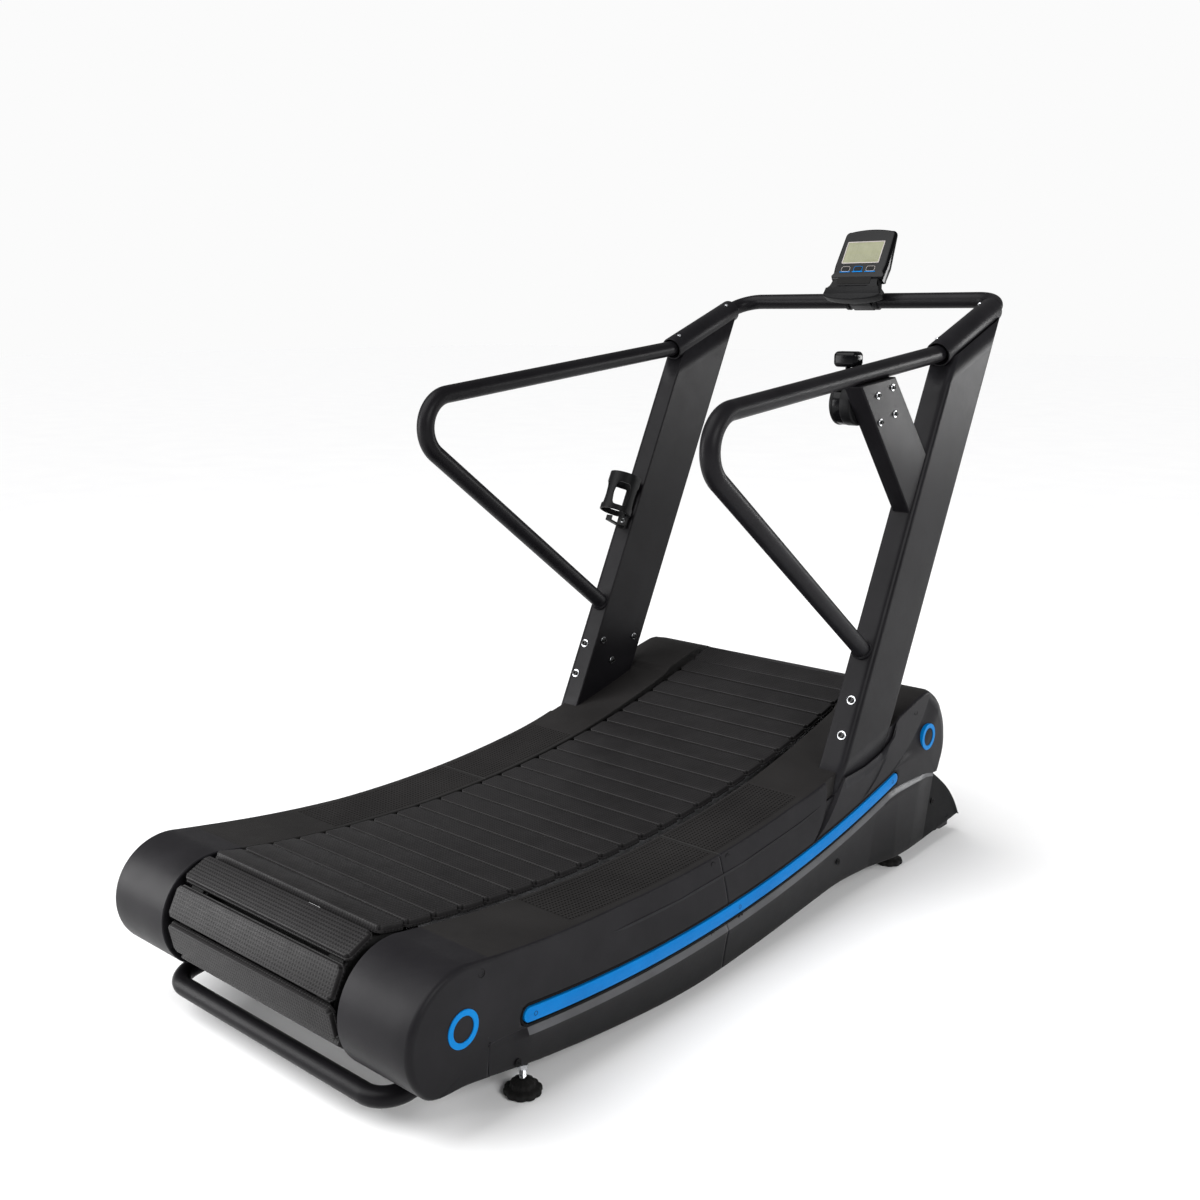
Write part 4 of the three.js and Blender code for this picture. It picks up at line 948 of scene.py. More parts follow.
def upper_cover(stations):
    """The ledge, its inner flange and the upper flank as one skin; marks 1 on the matt ledge."""
    rim = np.array([s.rim for s in stations])
    ahead = np.gradient(rim, axis=0)
    ahead /= np.hypot(*ahead.T)[:, None]
    inward = np.stack([ahead[:, 1], -ahead[:, 0]], axis=1)
    lift = np.interp([s.label for s in stations], LIFT_Y, LIFT_Z)
    profile = []
    for station, way, up in zip(stations, inward, lift):
        station.rim = station.rim + (0, up * max(0.0, -way[1]))
        profile.append(cover_station(station, way))
    rows = len(profile[0])
    points = [p for line in profile for p in line]
    shape = Shape().add(points, grid_faces(len(stations), rows))
    shape.marks = []
    for face in shape.faces:
        k, column = divmod(face[0], rows)
        label = stations[k].label
        flat = column < LEDGE_COLUMNS and label > 128
        hollow = WEDGE[0] < label < WEDGE[1] - 1 and column < rows - len(CHANNEL_ROWS) - 1
        shape.marks.append(1 if flat or hollow else 0)
    return shape


def lower_line(low_y, high_y):
    """Band and sill places side by side under the stripe."""
    rows = []
    ends_here = high_y > FRONT[0]
    low_y = max(low_y, SILL_START)
    last = LOBE_START - 2 if ends_here else high_y
    ys = np.linspace(low_y, last, int((last - low_y) / 4))
    sill = curve_through(SILL + SILL_FRONT[1:], 600)
    sill_high = 1540 if ends_here else high_y
    share = smooth(ys, 1400, last) if ends_here else 0 * ys
    sill_ys = ys * (1 - share) + np.linspace(low_y, sill_high, len(ys)) * share
    rows.append((np.stack([ys, band_top(ys)], axis=1),
                 np.stack([sill_ys, np.interp(sill_ys, sill[:, 0], sill[:, 1])], axis=1)))
    if ends_here:
        rows.append((curve_through(LOBE_TOP, 40), curve_through([(1542, 34.5), *SILL_FRONT[2:]], 40)))
    return np.concatenate([r[0] for r in rows]), np.concatenate([r[1] for r in rows])


def lower_cover(low_y, high_y):
    """The lower flank, darker towards the sill by the shell's painted shade, with the band along its upper
    edge painted lighter as a highlight, and the front lobe's top in a darker copy of the shell as painted
    shade.
    """
    top, sill = lower_line(low_y, high_y)
    points = []
    for t, b in zip(top, sill):
        points.extend(lower_station(t, b))
    rows = len(lower_station(top[0], sill[0]))
    shape = Shape().add(points, grid_faces(len(top), rows))
    shape.marks = []
    for face in shape.faces:
        k, column = divmod(face[0], rows)
        # the lobe takes the darker copy of the shell: painted shade
        lobe = top[k][0] >= LOBE_START - 1
        # painted highlight: the band's chamfer columns take the lighter chamfer colour
        light = column in (3, 4) and top[k][0] > 200
        shape.marks.append(2 if lobe else 3 if light else 0)
    return shape


def lower_station(top, sill):
    y = top[0]
    length = float(np.hypot(*(sill - top)))
    down = (sill - top) / max(length, 1e-6)
    shows = float(smooth(y, 160, 215) * (1 - smooth(y, 1490, 1570)))
    lobe = float(smooth(y, LOBE_START - 1, LOBE_START + 1))
    step = min((BAND_LOW - BAND_TOP) * (1 - 0.3 * float(smooth(y, 1400, 1560))), 0.3 * length)
    start = FLANK - 0.4 - 0.2 * shows
    proud = FLANK - 0.4 + 5.4 * shows
    low_x = FLANK - float(np.interp(y, [SILL_START, 300, 1300, 1400, 1494, 1727], [0.9, 9, 9, 0.5, 0.5, 5]))
    inner = INNER + 6 if lobe > 0.5 else FLANK - 8
    line = [(inner, *(top + down * 2.2 * lobe)), (start - 3 * (shows + lobe), *top),
            (start - 0.4 * shows - 1.2 * lobe, *(top + down * 0.15)),
            (start, *(top + down * (0.4 + 1.2 * lobe))), (proud - 0.7 * shows, *(top + down * (step - 1.2))),
            (proud, *(top + down * step))]
    for k in range(1, 13):
        share = k / 12
        depth = step + (length - step - 4.0) * share
        depth = max(depth, 0.5 * length * share)
        line.append((proud + (low_x - proud) * share ** 0.8, *(top + down * depth)))
    line += [(low_x - 0.9, *(sill - down * 1.6)), (low_x - 2, *(sill - down * 0.4)), (low_x - 2.6, *sill),
             (low_x - 3.0, *sill), (low_x - 3.2, *(sill - down * min(9, length * 0.4)))]
    return line


def covers():
    halves = {"rear": (rear_stations(), -100, SEAM - 1.1), "front": (front_stations(), SEAM + 1.1, 2000)}
    for end, (stations, low, high) in halves.items():
        upper = upper_cover(stations)
        lower = lower_cover(low, high)
        upper.take(lower)
        looks = ["shell", "ledge", "under", "chamfer"]
        pair = both_sides(upper, f"{end}_cover_shell", "root", looks, f"{end}_cover", 38)
        for obj in pair:
            thicken(obj, 1.6)


def seam_strips():
    """Dark strips behind the joints of the covers."""
    shape = Shape()
    sill = float(np.interp(SEAM, *zip(*SILL)))
    ledge = float(arc_point(LEDGE, SEAM))
    for y, low, high, x in ((SEAM, sill + 0.8, sill + 80, 395), (SEAM, sill + 60, ledge - 6, 382),
                            (SILL_START, 98.5, 150, 401)):
        outline = [(y - 7, low), (y + 7, low), (y + 7, high), (y - 7, high)]
        shape.take(prism(outline, x - 2, x, SIDE_VIEW, 0.4))
    both_sides(shape, "seam_strips", "root", "hole")


# ---------------------------------------------------------------- stripe, rings, panels and screws
def stadium(offset):
    """The loop at a distance round the stripe's middle line."""
    radius = STRIPE["radius"]
    half = STRIPE["half"] / radius
    low, high = (math.asin((STRIPE[e] - RUN[0]) / radius) for e in ("from", "to"))
    low += half
    high -= half
    at = lambda r, a: RUN + r * np.array([math.sin(a), -math.cos(a)])
    loop = [at(radius - offset, a) for a in np.linspace(low, high, 150)]
    centre = at(radius, high)
    loop += [centre + offset * ray(t + high)
             for t in np.linspace(math.pi / 2, -math.pi / 2, 20)[1:-1]]
    loop += [at(radius + offset, a) for a in np.linspace(high, low, 150)]
    centre = at(radius, low)
    loop += [centre + offset * ray(t + low)
             for t in np.linspace(-math.pi / 2, -3 * math.pi / 2, 20)[1:-1]]
    return np.array(loop)


def ringed(rows):
    """A skin through stripe-shaped loops, [(offset, x), ...]."""
    points = []
    for offset, x in rows:
        points.extend((x, *p) for p in stadium(offset))
    return Shape().add(points, grid_faces(len(rows), len(stadium(1)), close_columns=True))


def trims():
    floor = CHANNEL["floor"]
    wall = CHANNEL["wall"]
    lip = CHANNEL["lip"]
    channel = ringed([(lip + 1.6, FLANK - 3), (lip + 0.6, FLANK + 0.1), (lip - 0.4, FLANK + 0.6),
                      (wall + 1, FLANK + 0.6), (wall + 0.2, FLANK - 0.1), (wall, floor + 0.5),
                      (wall - 0.6, floor), (0.05, floor)])
    both_sides(channel, "stripe_channel", "root", "channel", smooth_angle=40)
    half = STRIPE["half"]
    stripe = ringed([(0.05, floor + 0.4), (half - 0.3, floor + 0.4), (half, floor + 0.8), (half, FLANK + 1.2),
                     (half - 0.5, FLANK + 1.9), (half - 5.2, FLANK + 3.2), (half - 5.8, FLANK + 3.35),
                     (0.05, FLANK + 3.35)])
    both_sides(stripe, "blue_stripe", "root", "blue", "accent_strip", 18)
    for end, axis in (("rear", REAR), ("front", FRONT)):
        x = FLANK + 1.3
        profile = [(21, x - 9), (21, x - 0.6), (21.5, x), (30.4, x), (31, x - 0.6), (31, x - 9)]
        ring = lathe(profile, 64).placed(facing((0, *axis), (1, 0, 0)))
        both_sides(ring, f"{end}_blue_ring", "root", "blue", f"{end}_ring", 30)


def grip_panels():
    """Plates of rows of holes let into the ledges."""
    across, along = 8.4, 7.4
    width = PANEL["x1"] - PANEL["x0"] - 1.2
    columns = int(width // across)
    pitch_x = width / columns
    for bay, (low, high) in enumerate(PANEL["bays"]):
        shape = Shape()
        length = high - low - 1.0
        rows = int(length // along)
        pitch_y = length / rows
        for i in range(rows):
            for j in range(columns):
                x = PANEL["x0"] + 0.6 + pitch_x * (j + 0.5)
                y = low + 0.5 + pitch_y * (i + 0.5)
                slant = (pitch_x * 0.5, pitch_y * 0.5)
                ring = [(sx * slant[0], sy * slant[1]) for sx, sy in
                        ((-1, -1), (0, -1), (1, -1), (1, 0), (1, 1), (0, 1), (-1, 1), (-1, 0))]
                hole = [(-0.36, -0.2), (-0.08, -0.62), (0.2, -0.62), (0.4, -0.2), (0.36, 0.2), (0.08, 0.62),
                        (-0.2, 0.62), (-0.4, 0.2)]
                outer = [(x + a, y + b) for a, b in ring]
                inner = [(x + a * pitch_x * 0.5 * 1.15, y + b * pitch_y * 0.5) for a, b in hole]
                points = [(px, py, ledge_height(py) - 0.15) for px, py in outer]
                points += [(px, py, ledge_height(py) - 0.25) for px, py in inner]
                points += [(px, py, ledge_height(py) - 2.0) for px, py in inner]
                shape.add(points, grid_faces(3, 8, close_columns=True))
        both_sides(shape, f"grip_panel_{bay + 1}", "root", "ledge", smooth_angle=20)


def ledge_height(y):
    return float(arc_point(LEDGE, y)) + float(np.interp(y, LIFT_Y, LIFT_Z))


SCREWS = [(109, 273), *((y, float(arc_point(LEDGE, y)) - 12) for y in (722, 768)), (1477, 363), (1578, 122),
          (1665, 60), (1150, 110), (700, 110), (790, 118), (182, 90)]


def flank_at(stations, y, z):
    """How far out the flank is near a place, from the closest place on any station's line."""
    best = (1e9, FLANK)
    for station in stations:
        shares = np.linspace(0.05, 1, 30)
        places = station.line(station.rim, shares)
        gaps = np.hypot(places[:, 0] - y, places[:, 1] - z)
        k = int(np.argmin(gaps))
        if gaps[k] < best[0]:
            best = (float(gaps[k]), float(flank_x(station, places[k:k + 1], shares[k:k + 1])[0]))
    return best


def cover_screws():
    """Black socket screws sunk in dark cups on the flank."""
    stations = rear_stations() + front_stations()
    shape = Shape()
    for y, z in SCREWS:
        gap, x = flank_at(stations, y, z)
        if gap > 8:
            x = FLANK + 0.4 - 6 * float(np.clip((100 - z) / 60, 0, 1))
        cup = [(7.0, -1.5), (6.9, 0.35), (6.3, 0.55), (5.9, 0.2), (5.6, -0.4), (3.6, -0.6), (3.2, 0.0),
               (2.2, 0.0), (1.9, -1.2), (0, -1.2)]
        shape.take(lathe(cup, 24).placed(facing((x, y, z), (1, 0, 0.1))))
    both_sides(shape, "cover_screws", "root", "hole")
    fixing = Shape()
    for y in (STRIPE["from"] + 24, SEAM + 38, STRIPE["to"] - 24):
        cup = [(4.0, -0.4), (4.0, 0.2), (3.4, 0.3), (2.6, -0.1), (0, -0.1)]
        place = (FLANK + 3.3, y, arc_point(STRIPE["radius"], y))
        fixing.take(lathe(cup, 18).placed(facing(place, (1, 0, 0))))
    both_sides(fixing, "stripe_screws", "root", "hole")


# ---------------------------------------------------------------- posts, sleeves and handles
POST_UP = np.array([0, math.sin(POST["lean"]), math.cos(POST["lean"])])
POST_DEEP = np.array([0, math.cos(POST["lean"]), -math.sin(POST["lean"])])
POST_FOOT = np.array([0, *POST["foot"]], float)
SLEEVE_REAR = np.array([SLEEVE["x"], *SLEEVE["rear"]], float)
SLEEVE_FRONT = np.array([SLEEVE["x"], *SLEEVE["front"]], float)
SLEEVE_LENGTH = float(np.linalg.norm(SLEEVE_FRONT - SLEEVE_REAR))
SLEEVE_WAY = (SLEEVE_FRONT - SLEEVE_REAR) / SLEEVE_LENGTH
SLEEVE_UP = np.cross([1, 0, 0], SLEEVE_WAY)


def on_post(x, deep, up):
    """A place from its distance across, behind the rear face and up the lean."""
    return POST_FOOT + (x, 0, 0) + POST_DEEP * deep + POST_UP * up


def post_section():
    """(x, depth) round the post, with small inner corners and wide outer ones."""
    middle = ((POST["inner"] + POST["outer"]) / 2, POST["depth"] / 2)
    half_x = (POST["outer"] - POST["inner"]) / 2
    half_d = POST["depth"] / 2
    points = []
    for k, (sx, sd, corner) in enumerate([(1, 1, 14), (-1, 1, 3), (-1, -1, 3), (1, -1, 14)]):
        for i in range(9):
            angle = math.pi / 2 * (k + i / 8)
            points.append((middle[0] + sx * (half_x - corner) + corner * math.cos(angle),
                           middle[1] + sd * (half_d - corner) + corner * math.sin(angle)))
    dense = []
    for a, b in zip(points, points[1:] + points[:1]):
        steps = max(1, int(math.dist(a, b) / 4))
        dense += [(a[0] + (b[0] - a[0]) * s / steps, a[1] + (b[1] - a[1]) * s / steps) for s in range(steps)]
    return dense


def post_ends(x, deep):
    """How far up the lean the post starts on the rail's top and ends under the sleeve."""
    start = on_post(x, deep, 0)
    rel = start[1:] - RUN
    way = POST_UP[1:]
    radius = 3041.6
    b = rel @ way
    bottom = -b - math.sqrt(b * b - rel @ rel + radius ** 2)
    across = x - SLEEVE["x"]
    below = math.sqrt(max((SLEEVE["radius"] + 0.4) ** 2 - across ** 2, 144))
    top = (-below - (start - SLEEVE_REAR) @ SLEEVE_UP) / (POST_UP @ SLEEVE_UP)
    return bottom, float(top)


def posts():
    section = post_section()
    rows = 14
    points = []
    for k in range(rows + 1):
        for x, deep in section:
            low, high = post_ends(x, deep)
            points.append(on_post(x, deep, low + (high - low) * k / rows))
    shell = Shape().add(points, grid_faces(rows + 1, len(section), close_columns=True))
    for obj in both_sides(shell, "post_shell", "root", "paint", "post", 25):
        thicken(obj, 3)


def bolt(place, head=6.5, washer=10.0):
    """A black socket screw on a bright washer; the place's +Z points out of the surface."""
    shape = Shape()
    ring = [(head * 0.5, 0), (washer, 0), (washer, 1.3), (washer - 0.5, 1.8), (head * 0.5, 1.8)]
    cap = [(head - 0.2, 1.7), (head, 2.2), (head, 5.8), (head - 0.9, 6.8), (head * 0.58, 6.8),
           (head * 0.5, 6.2)]
    shape.take(lathe(ring, 28).placed(place), 0)
    shape.take(lathe(cap, 24).placed(place), 1)
    hexagon = [(head * 0.5, 6.2), (head * 0.46, 2.8), (0, 2.8)]
    shape.take(lathe(hexagon, 6).placed(place), 1)
    return shape


def post_bolts():
    shape = Shape()
    for up in (60.2, 138.2):
        shape.take(bolt(facing(on_post(378, 0, up), -POST_DEEP)))
    for y, z in ((1263, 450), (1296, 392), (1382, 438)):
        shape.take(bolt(facing((POST["inner"], y, z), (-1, 0, 0)), 5.5, 8.5))
    both_sides(shape, "post_bolts", "root", ["steel", "socket"])


def sleeves():
    radius, bore, grip, mouth = SLEEVE["radius"], SLEEVE["bore"], SLEEVE["grip"], 45
    half = [(grip, mouth), (bore, mouth), (bore, 0.8), (bore + 0.7, 0), (radius - 1.2, 0),
            (radius - 0.3, 0.4), (radius, 1.4)]
    profile = half + [(r, SLEEVE_LENGTH - h) for r, h in half[::-1]]
    barrel = lathe(profile, 56).placed(facing(SLEEVE_REAR, SLEEVE_WAY))
    both_sides(barrel, "sleeve_barrel", "root", "paint", "sleeve", 35)
    screws = Shape()
    for share in (0.1, 0.9):
        out = np.array([-0.42, 0, 0]) + SLEEVE_UP * 0.9
        out /= np.linalg.norm(out)
        spot = SLEEVE_REAR + SLEEVE_WAY * SLEEVE_LENGTH * share + out * radius
        head = [(0, 1.4), (1.6, 1.4), (2.0, 2.4), (3.6, 2.4), (4.4, 1.6), (4.6, -0.5)]
        screws.take(lathe(head, 18).placed(facing(spot, out)))
    both_sides(screws, "sleeve_screws", "root", "steel")


def weld(centre, way, radius, ripples=34):
    """A rippled bead round a tube where it meets a face."""
    bead = []
    for k in range(ripples * 3):
        angle = 2 * math.pi * k / (ripples * 3)
        bead.append((math.cos(angle), math.sin(angle), 1 + 0.22 * math.sin(angle * ripples)))
    points = []
    for a, b, swell in bead:
        for across, height in ((0.0, 3.4), (1.6, 3.0), (2.9, 1.6), (3.4, 0.0), (0, -1)):
            r = radius - 0.4 + across * swell
            points.append((r * a, r * b, height * swell))
    return Shape().add(points, grid_faces(len(bead), 5, close_rows=True)).placed(facing(centre, way))


def handles():
    inside = SLEEVE_REAR + (SLEEVE_FRONT - SLEEVE_REAR) * 0.42
    mouth = SLEEVE_REAR + (SLEEVE_FRONT - SLEEVE_REAR) * 0.02
    knee = np.array([SLEEVE["x"], *HANDLE["knee"]])
    end = np.array([SLEEVE["x"], *HANDLE["end"]])
    route = rounded([inside, mouth, knee, end], [HANDLE["top_bend"], HANDLE["bend"]], math.radians(3))
    rail = swept(route, circle(TUBE, 40))
    way = (knee - end) / np.linalg.norm(knee - end)
    lower = end[1:] - POST_FOOT[1:]
    reach = (lower @ POST_DEEP[1:]) / -(way @ POST_DEEP)
    rail.take(weld(end + way * (reach + 0.6), way, TUBE + 1.0))
    both_sides(rail, "hand_rail", "root", "paint", "handle")


def crossbar():
    inside = SLEEVE_REAR + (SLEEVE_FRONT - SLEEVE_REAR) * 0.58
    corner = np.array([SLEEVE["x"], CROSSBAR["y"], CROSSBAR["z"]])
    flip = lambda p: p * (-1, 1, 1)
    route = rounded([inside, corner, flip(corner), flip(inside)], [CROSSBAR["bend"]] * 2, math.radians(3))
    dress(swept(route, circle(TUBE, 40)).build("front_crossbar"), "root", "paint", ["crossbar"])


def lift_bar():
    low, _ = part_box("lift_bar")
    radius = 17
    x, height, bend = 300, 60, 50
    end = np.array([x, 212, 81])
    corner = np.array([x, low[1] / MM - BASE_Y + radius, height])
    flip = lambda p: p * (-1, 1, 1)
    route = rounded([end, corner, flip(corner), flip(end)], [bend, bend], math.radians(3))
    dress(swept(route, circle(radius, 36)).build("rear_lift_bar"), "root", "paint", ["lift_bar"])


# ---------------------------------------------------------------- resistance lever
def pillow(outline, low, high, radius, place=None, steps=5, mark=0, dish=0.0):
    """A plate with rims rounded to a radius; its top can be dished a little."""
    outline = np.asarray(outline, float)
    rows = []
    for k in range(steps + 1):
        angle = math.pi / 2 * k / steps
        rows.append((radius * (1 - math.sin(angle)), low + radius * (1 - math.cos(angle))))
    for k in range(steps + 1):
        angle = math.pi / 2 * k / steps
        rows.append((radius * (1 - math.cos(angle)), high - radius * (1 - math.sin(angle))))
    if dish:
        rows += [(radius + 1.2, high - dish)]
    rings = [(inset(outline, by) if by > 1e-9 else outline, height) for by, height in rows]
    points = [(*p, height) for ring, height in rings for p in ring]
    count = len(outline)
    shape = Shape().add(points, grid_faces(len(rings), count, close_columns=True), mark)
    shape.faces += [list(range(count))[::-1], [(len(rings) - 1) * count + k for k in range(count)]]
    shape.marks += [mark, mark]
    if place is None:
        return shape
    moved = shape.placed(place)
    moved.marks = list(shape.marks)
    return moved


def side_plate(outline, x0, x1, radius, mark=0):
    """A pillow over a side-view outline, from x0 to x1."""
    return pillow(outline, x0, x1, radius, SIDE_VIEW, mark=mark)


def soft_corners(corners, radius, steps=6):
    """A closed outline with every corner rounded to about a radius."""
    corners = [np.array(c, float) for c in corners]
    points = []
    for k, corner in enumerate(corners):
        back = corners[k - 1] - corner
        ahead = corners[(k + 1) % len(corners)] - corner
        back /= np.linalg.norm(back)
        ahead /= np.linalg.norm(ahead)
        half = math.acos(float(np.clip(back @ ahead, -1, 1))) / 2
        reach = min(radius / math.tan(half), radius * 2.5)
        for i in range(steps + 1):
            t = i / steps
            points.append(corner + back * reach * (1 - t) ** 2 + ahead * reach * t ** 2)
    return points


def handle_height(y):
    (ky, kz), (sy, sz) = HANDLE["knee"], SLEEVE["rear"]
    return kz + (y - ky) * (sz - kz) / (sy - ky)


def resistance_bracket():
    (x0, x1), _, _ = edges("resistance_bracket")
    behind = lambda z: POST["foot"][0] + (z - POST["foot"][1]) * math.tan(POST["lean"]) + 2
    top = lambda y: handle_height(y) - TUBE + 3
    outline = soft_corners([(1188, top(1188)), (behind(822), 822), (behind(946), 946), (1328, top(1328))], 4)
    plate = side_plate(outline, x0, x1, 3)
    dress(plate.build("lever_bracket"), "root", "paint", ["resistance_bracket"])
    shape = Shape()
    for y, z in ((1257, 1083), (1316, 1097), (1331, 1042), (1272, 1028)):
        shape.take(bolt(facing((x1, y, z), (1, 0, 0)), 4.6, 7.5))
    dress(shape.build("lever_bracket_bolts"), "root", ["steel", "socket"])


def round_outline(centre, radius, from_angle, to_angle, steps):
    return [np.array(centre) + radius * ray(a)
            for a in np.linspace(from_angle, to_angle, steps)]


def resistance_lever():
    (x0, x1), _, _ = edges("lever_housing")
    y, z = LEVER
    radius, slot = 45, 5.5
    body = round_outline(LEVER, radius, 0, math.radians(355), 71)
    opening = math.radians(33)
    middle = round_outline(LEVER, radius - 0.6, -math.radians(62), opening, 20)
    middle += [(y, z - 14)]
    middle += round_outline(LEVER, radius - 0.6, math.pi - opening, math.radians(292), 24)
    arm_x = (edges("lever_arm")[0][0] + 16)
    shape = side_plate(body, x0, arm_x - slot, 4.5)
    shape.take(side_plate(body, arm_x + slot, x1, 4.5))
    shape.take(side_plate(middle, arm_x - slot - 5, arm_x + slot + 5, 0.4), 1)
    for spot in ((y - 28, z - 10), (y + 24, z - 20), (y - 6, z - 33)):
        cup = [(5, -0.5), (5, 0.3), (4.2, 0.6), (3.4, -0.8), (1.8, -0.8), (1.5, -1.6), (0, -1.6)]
        shape.take(lathe(cup, 18).placed(facing((x0, *spot), (-1, 0, 0))), 1)
    hub = lathe([(9, -0.5), (9, 1.2), (8, 1.8), (2, 1.8), (0, 1.6)], 24)
    shape.take(hub.placed(facing((x0, y, z), (-1, 0, 0))), 1)
    dress(shape.build("lever_case"), "root", ["plastic", "gloss"], ["lever_housing"])

    arm = 84
    flat = soft_corners([(y - 9, z), (y + 9, z), (y + 6, z + arm), (y - 6, z + arm)], 2)
    blade = side_plate(flat, arm_x - 3, arm_x + 3, 1.0)
    blade.take(lathe([(0, 5), (11, 5), (12, 4), (12, -4), (11, -5), (0, -5)], 36).placed(
        facing((arm_x, y, z), (1, 0, 0))))
    blade.take(lathe([(0, -16), (4.4, -16), (5, -15), (5, 10), (4.4, 11), (0, 11)], 24).placed(
        facing((arm_x, y, z), (1, 0, 0))))
    dress(blade.build("lever_blade"), "lever", "gloss", ["lever_arm"])

    (k0, k1), (y0, y1), (z0, z1) = edges("lever_knob")
    knob = [(y + a, z0 * 0.35 + z1 * 0.65 + b)
            for a, b in box_outline((y1 - y0) / 2, (z1 - z0) * 0.35, 10, 8)]
    dress(side_plate(knob, k0, k1, 9).build("lever_grip"), "lever", "gloss", ["lever_knob"])


# ---------------------------------------------------------------- console
CONSOLE_V = np.array([0, math.sin(CONSOLE["tilt"]), math.cos(CONSOLE["tilt"])])
CONSOLE_W = np.array([0, -math.cos(CONSOLE["tilt"]), math.sin(CONSOLE["tilt"])])
CONSOLE_ORIGIN = np.array([0, CROSSBAR["y"], CROSSBAR["z"]]) + CONSOLE_W * CONSOLE["offset"]
CONSOLE_PLACE = Matrix.Translation(Vector(CONSOLE_ORIGIN)) @ Matrix(
    ((1, 0, 0), tuple(CONSOLE_V), tuple(CONSOLE_W))).transposed().to_4x4()
LCD = {"half": 50.5, "low": 70, "high": 128, "shift": -3}
BUTTONS = {"pitch": 35.3, "v": 52, "half": (10.5, 5.6)}


def shifted(outline, u, v):
    return [(a + u, b + v) for a, b in outline]


def bent(controls, t):
    """A place on the smooth bend from the first of three places to the last, drawn towards the second."""
    a, b, c = (np.array(p) for p in controls)
    return a * (1 - t) ** 2 + 2 * b * t * (1 - t) + c * t * t


def console_case():
    low, high, thick, thin = (CONSOLE[k] for k in ("low", "high", "thick", "thin"))
    half = CONSOLE["half"]
    sides = [(half - 4, low), (half, low + 40), (half - 3, high - 18)]
    corner = [(half - 3, high - 18), (half - 5, high - 6), (half - 18, high - 6)]
    crown = [(half - 18, high - 6), (0, high + 6), (18 - half, high - 6)]
    arc = [bent(corner, k / 8) for k in range(9)] + [bent(crown, k / 16) for k in range(1, 9)]
    right = [np.array([half - 7, low]), *(np.array(p, float) for p in sides[:2]), *arc]
    right.insert(1, np.array([half - 4.6, low + 0.9]))
    outline = np.array(right + [p * (-1, 1) for p in right[-2::-1]])

    def back(v):
        return -thick + (thick - thin) * max(0, v - low - 34) / (high - low - 33)

    rows = [(9, -0.9, 0), (7.5, -0.6, 0), (4.6, -1.4, 0), (2.2, -3.0, 0), (0.6, -5.6, 0), (0, -9, 0),
            (0, 3, 1), (0.5, 1.3, 1), (1.5, 0.4, 1), (3, 0, 1)]
    points = []
    for by, step, far in rows:
        ring = inset(outline, by) if by else outline
        points += [(u, v, step + (back(v) if far else 0)) for u, v in ring]
    count = len(outline)
    shape = Shape().add(points, grid_faces(len(rows), count, close_columns=True))
    shape.faces += [list(range(count))[::-1], [(len(rows) - 1) * count + k for k in range(count)]]
    shape.marks += [0, 0]
    shape = shape.placed(CONSOLE_PLACE)
    for v in (low + 12, high - 30):
        for u in (12 - half, half - 12):
            cup = [(4.4, -0.5), (4.4, 0.3), (3.6, 0.5), (3.0, -0.8), (0, -1.0)]
            shape.take(lathe(cup, 16).placed(CONSOLE_PLACE @ facing((u, v, back(v)), (0, 0, -1))))
    dress(shape.build("console_shell", 28), "root", "gloss", ["console_case"])


def picture_frame(outer, by, low, high):
    """A flat raised border between an outline and one drawn in from it."""
    outer = np.asarray(outer, float)
    rows = [(0, low), (0, high - 0.3), (0.3, high), (by - 0.3, high), (by, high - 0.3), (by, low)]
    rings = [(inset(outer, k) if k else outer, h) for k, h in rows]
    points = [(*p, h) for ring, h in rings for p in ring]
    return Shape().add(points, grid_faces(len(rows), len(outer), close_columns=True)).placed(CONSOLE_PLACE)


def console_face():
    middle = (LCD["low"] + LCD["high"]) / 2
    tall = (LCD["high"] - LCD["low"]) / 2
    around = shifted(box_outline(LCD["half"] + 2.2, tall + 2.2, 2.5), LCD["shift"], middle)
    bezel = picture_frame(around, 2.3, -1.4, 0.5)
    dress(bezel.build("screen_bezel"), "root", "frame")
    pane = shifted(box_outline(LCD["half"], tall, 1.6), LCD["shift"], middle)
    glass = pillow(pane, -2.0, -0.35, 0.3, CONSOLE_PLACE)
    dress(glass.build("screen_glass_plate"), "root", "lcd", ["console_lens"])
    digits()
    half_u, half_v = BUTTONS["half"]
    for k, side in enumerate(("left", "middle", "right")):
        u = (k - 1) * BUTTONS["pitch"] + LCD["shift"]
        outline = shifted(box_outline(half_u, half_v, 4), u, BUTTONS["v"])
        cap = pillow(outline, -3.5, 1.0, 0.55, CONSOLE_PLACE, 4, dish=0.15)
        dress(cap.build(f"button_{side}_cap"), f"button_{side}", "plastic", [f"console_button_{side}"])
        around = shifted(box_outline(half_u + 1.7, half_v + 1.7, 5), u, BUTTONS["v"])
        border = picture_frame(around, 1.0, -1.4, 0.3)
        dress(border.build(f"button_{side}_border"), "root", "blue" if side == "middle" else "frame")
        line = shifted(box_outline(15, 1.0, 0.9, 3), u, BUTTONS["v"] - 8.4)
        dash = pillow(line, -1.4, 0.15, 0.2, CONSOLE_PLACE, 2)
        dress(dash.build(f"button_{side}_dash"), "root", "blue")


def digits():
    """Faint unlit segments of two rows of numbers behind the display's glass."""
    shape = Shape()
    lying = [(0, b, 3.2, 0.6) for b in (0.5, 0, -0.5)]
    upright = [(a, b, 0.6, 2.8) for b in (0.25, -0.25) for a in (-3.9, 3.9)]
    size = 14
    for v in (112, 86):
        for k in range(7):
            u = LCD["shift"] + 13.2 * (k - 3)
            for a, b, wide, tall in lying + upright:
                bar = box_outline(wide, tall, 0.5, 2)
                shape.take(prism(shifted(bar, u + a, v + b * size), -0.5, -0.3, CONSOLE_PLACE))
    dress(shape.build("display_segments"), "root", "ghost")


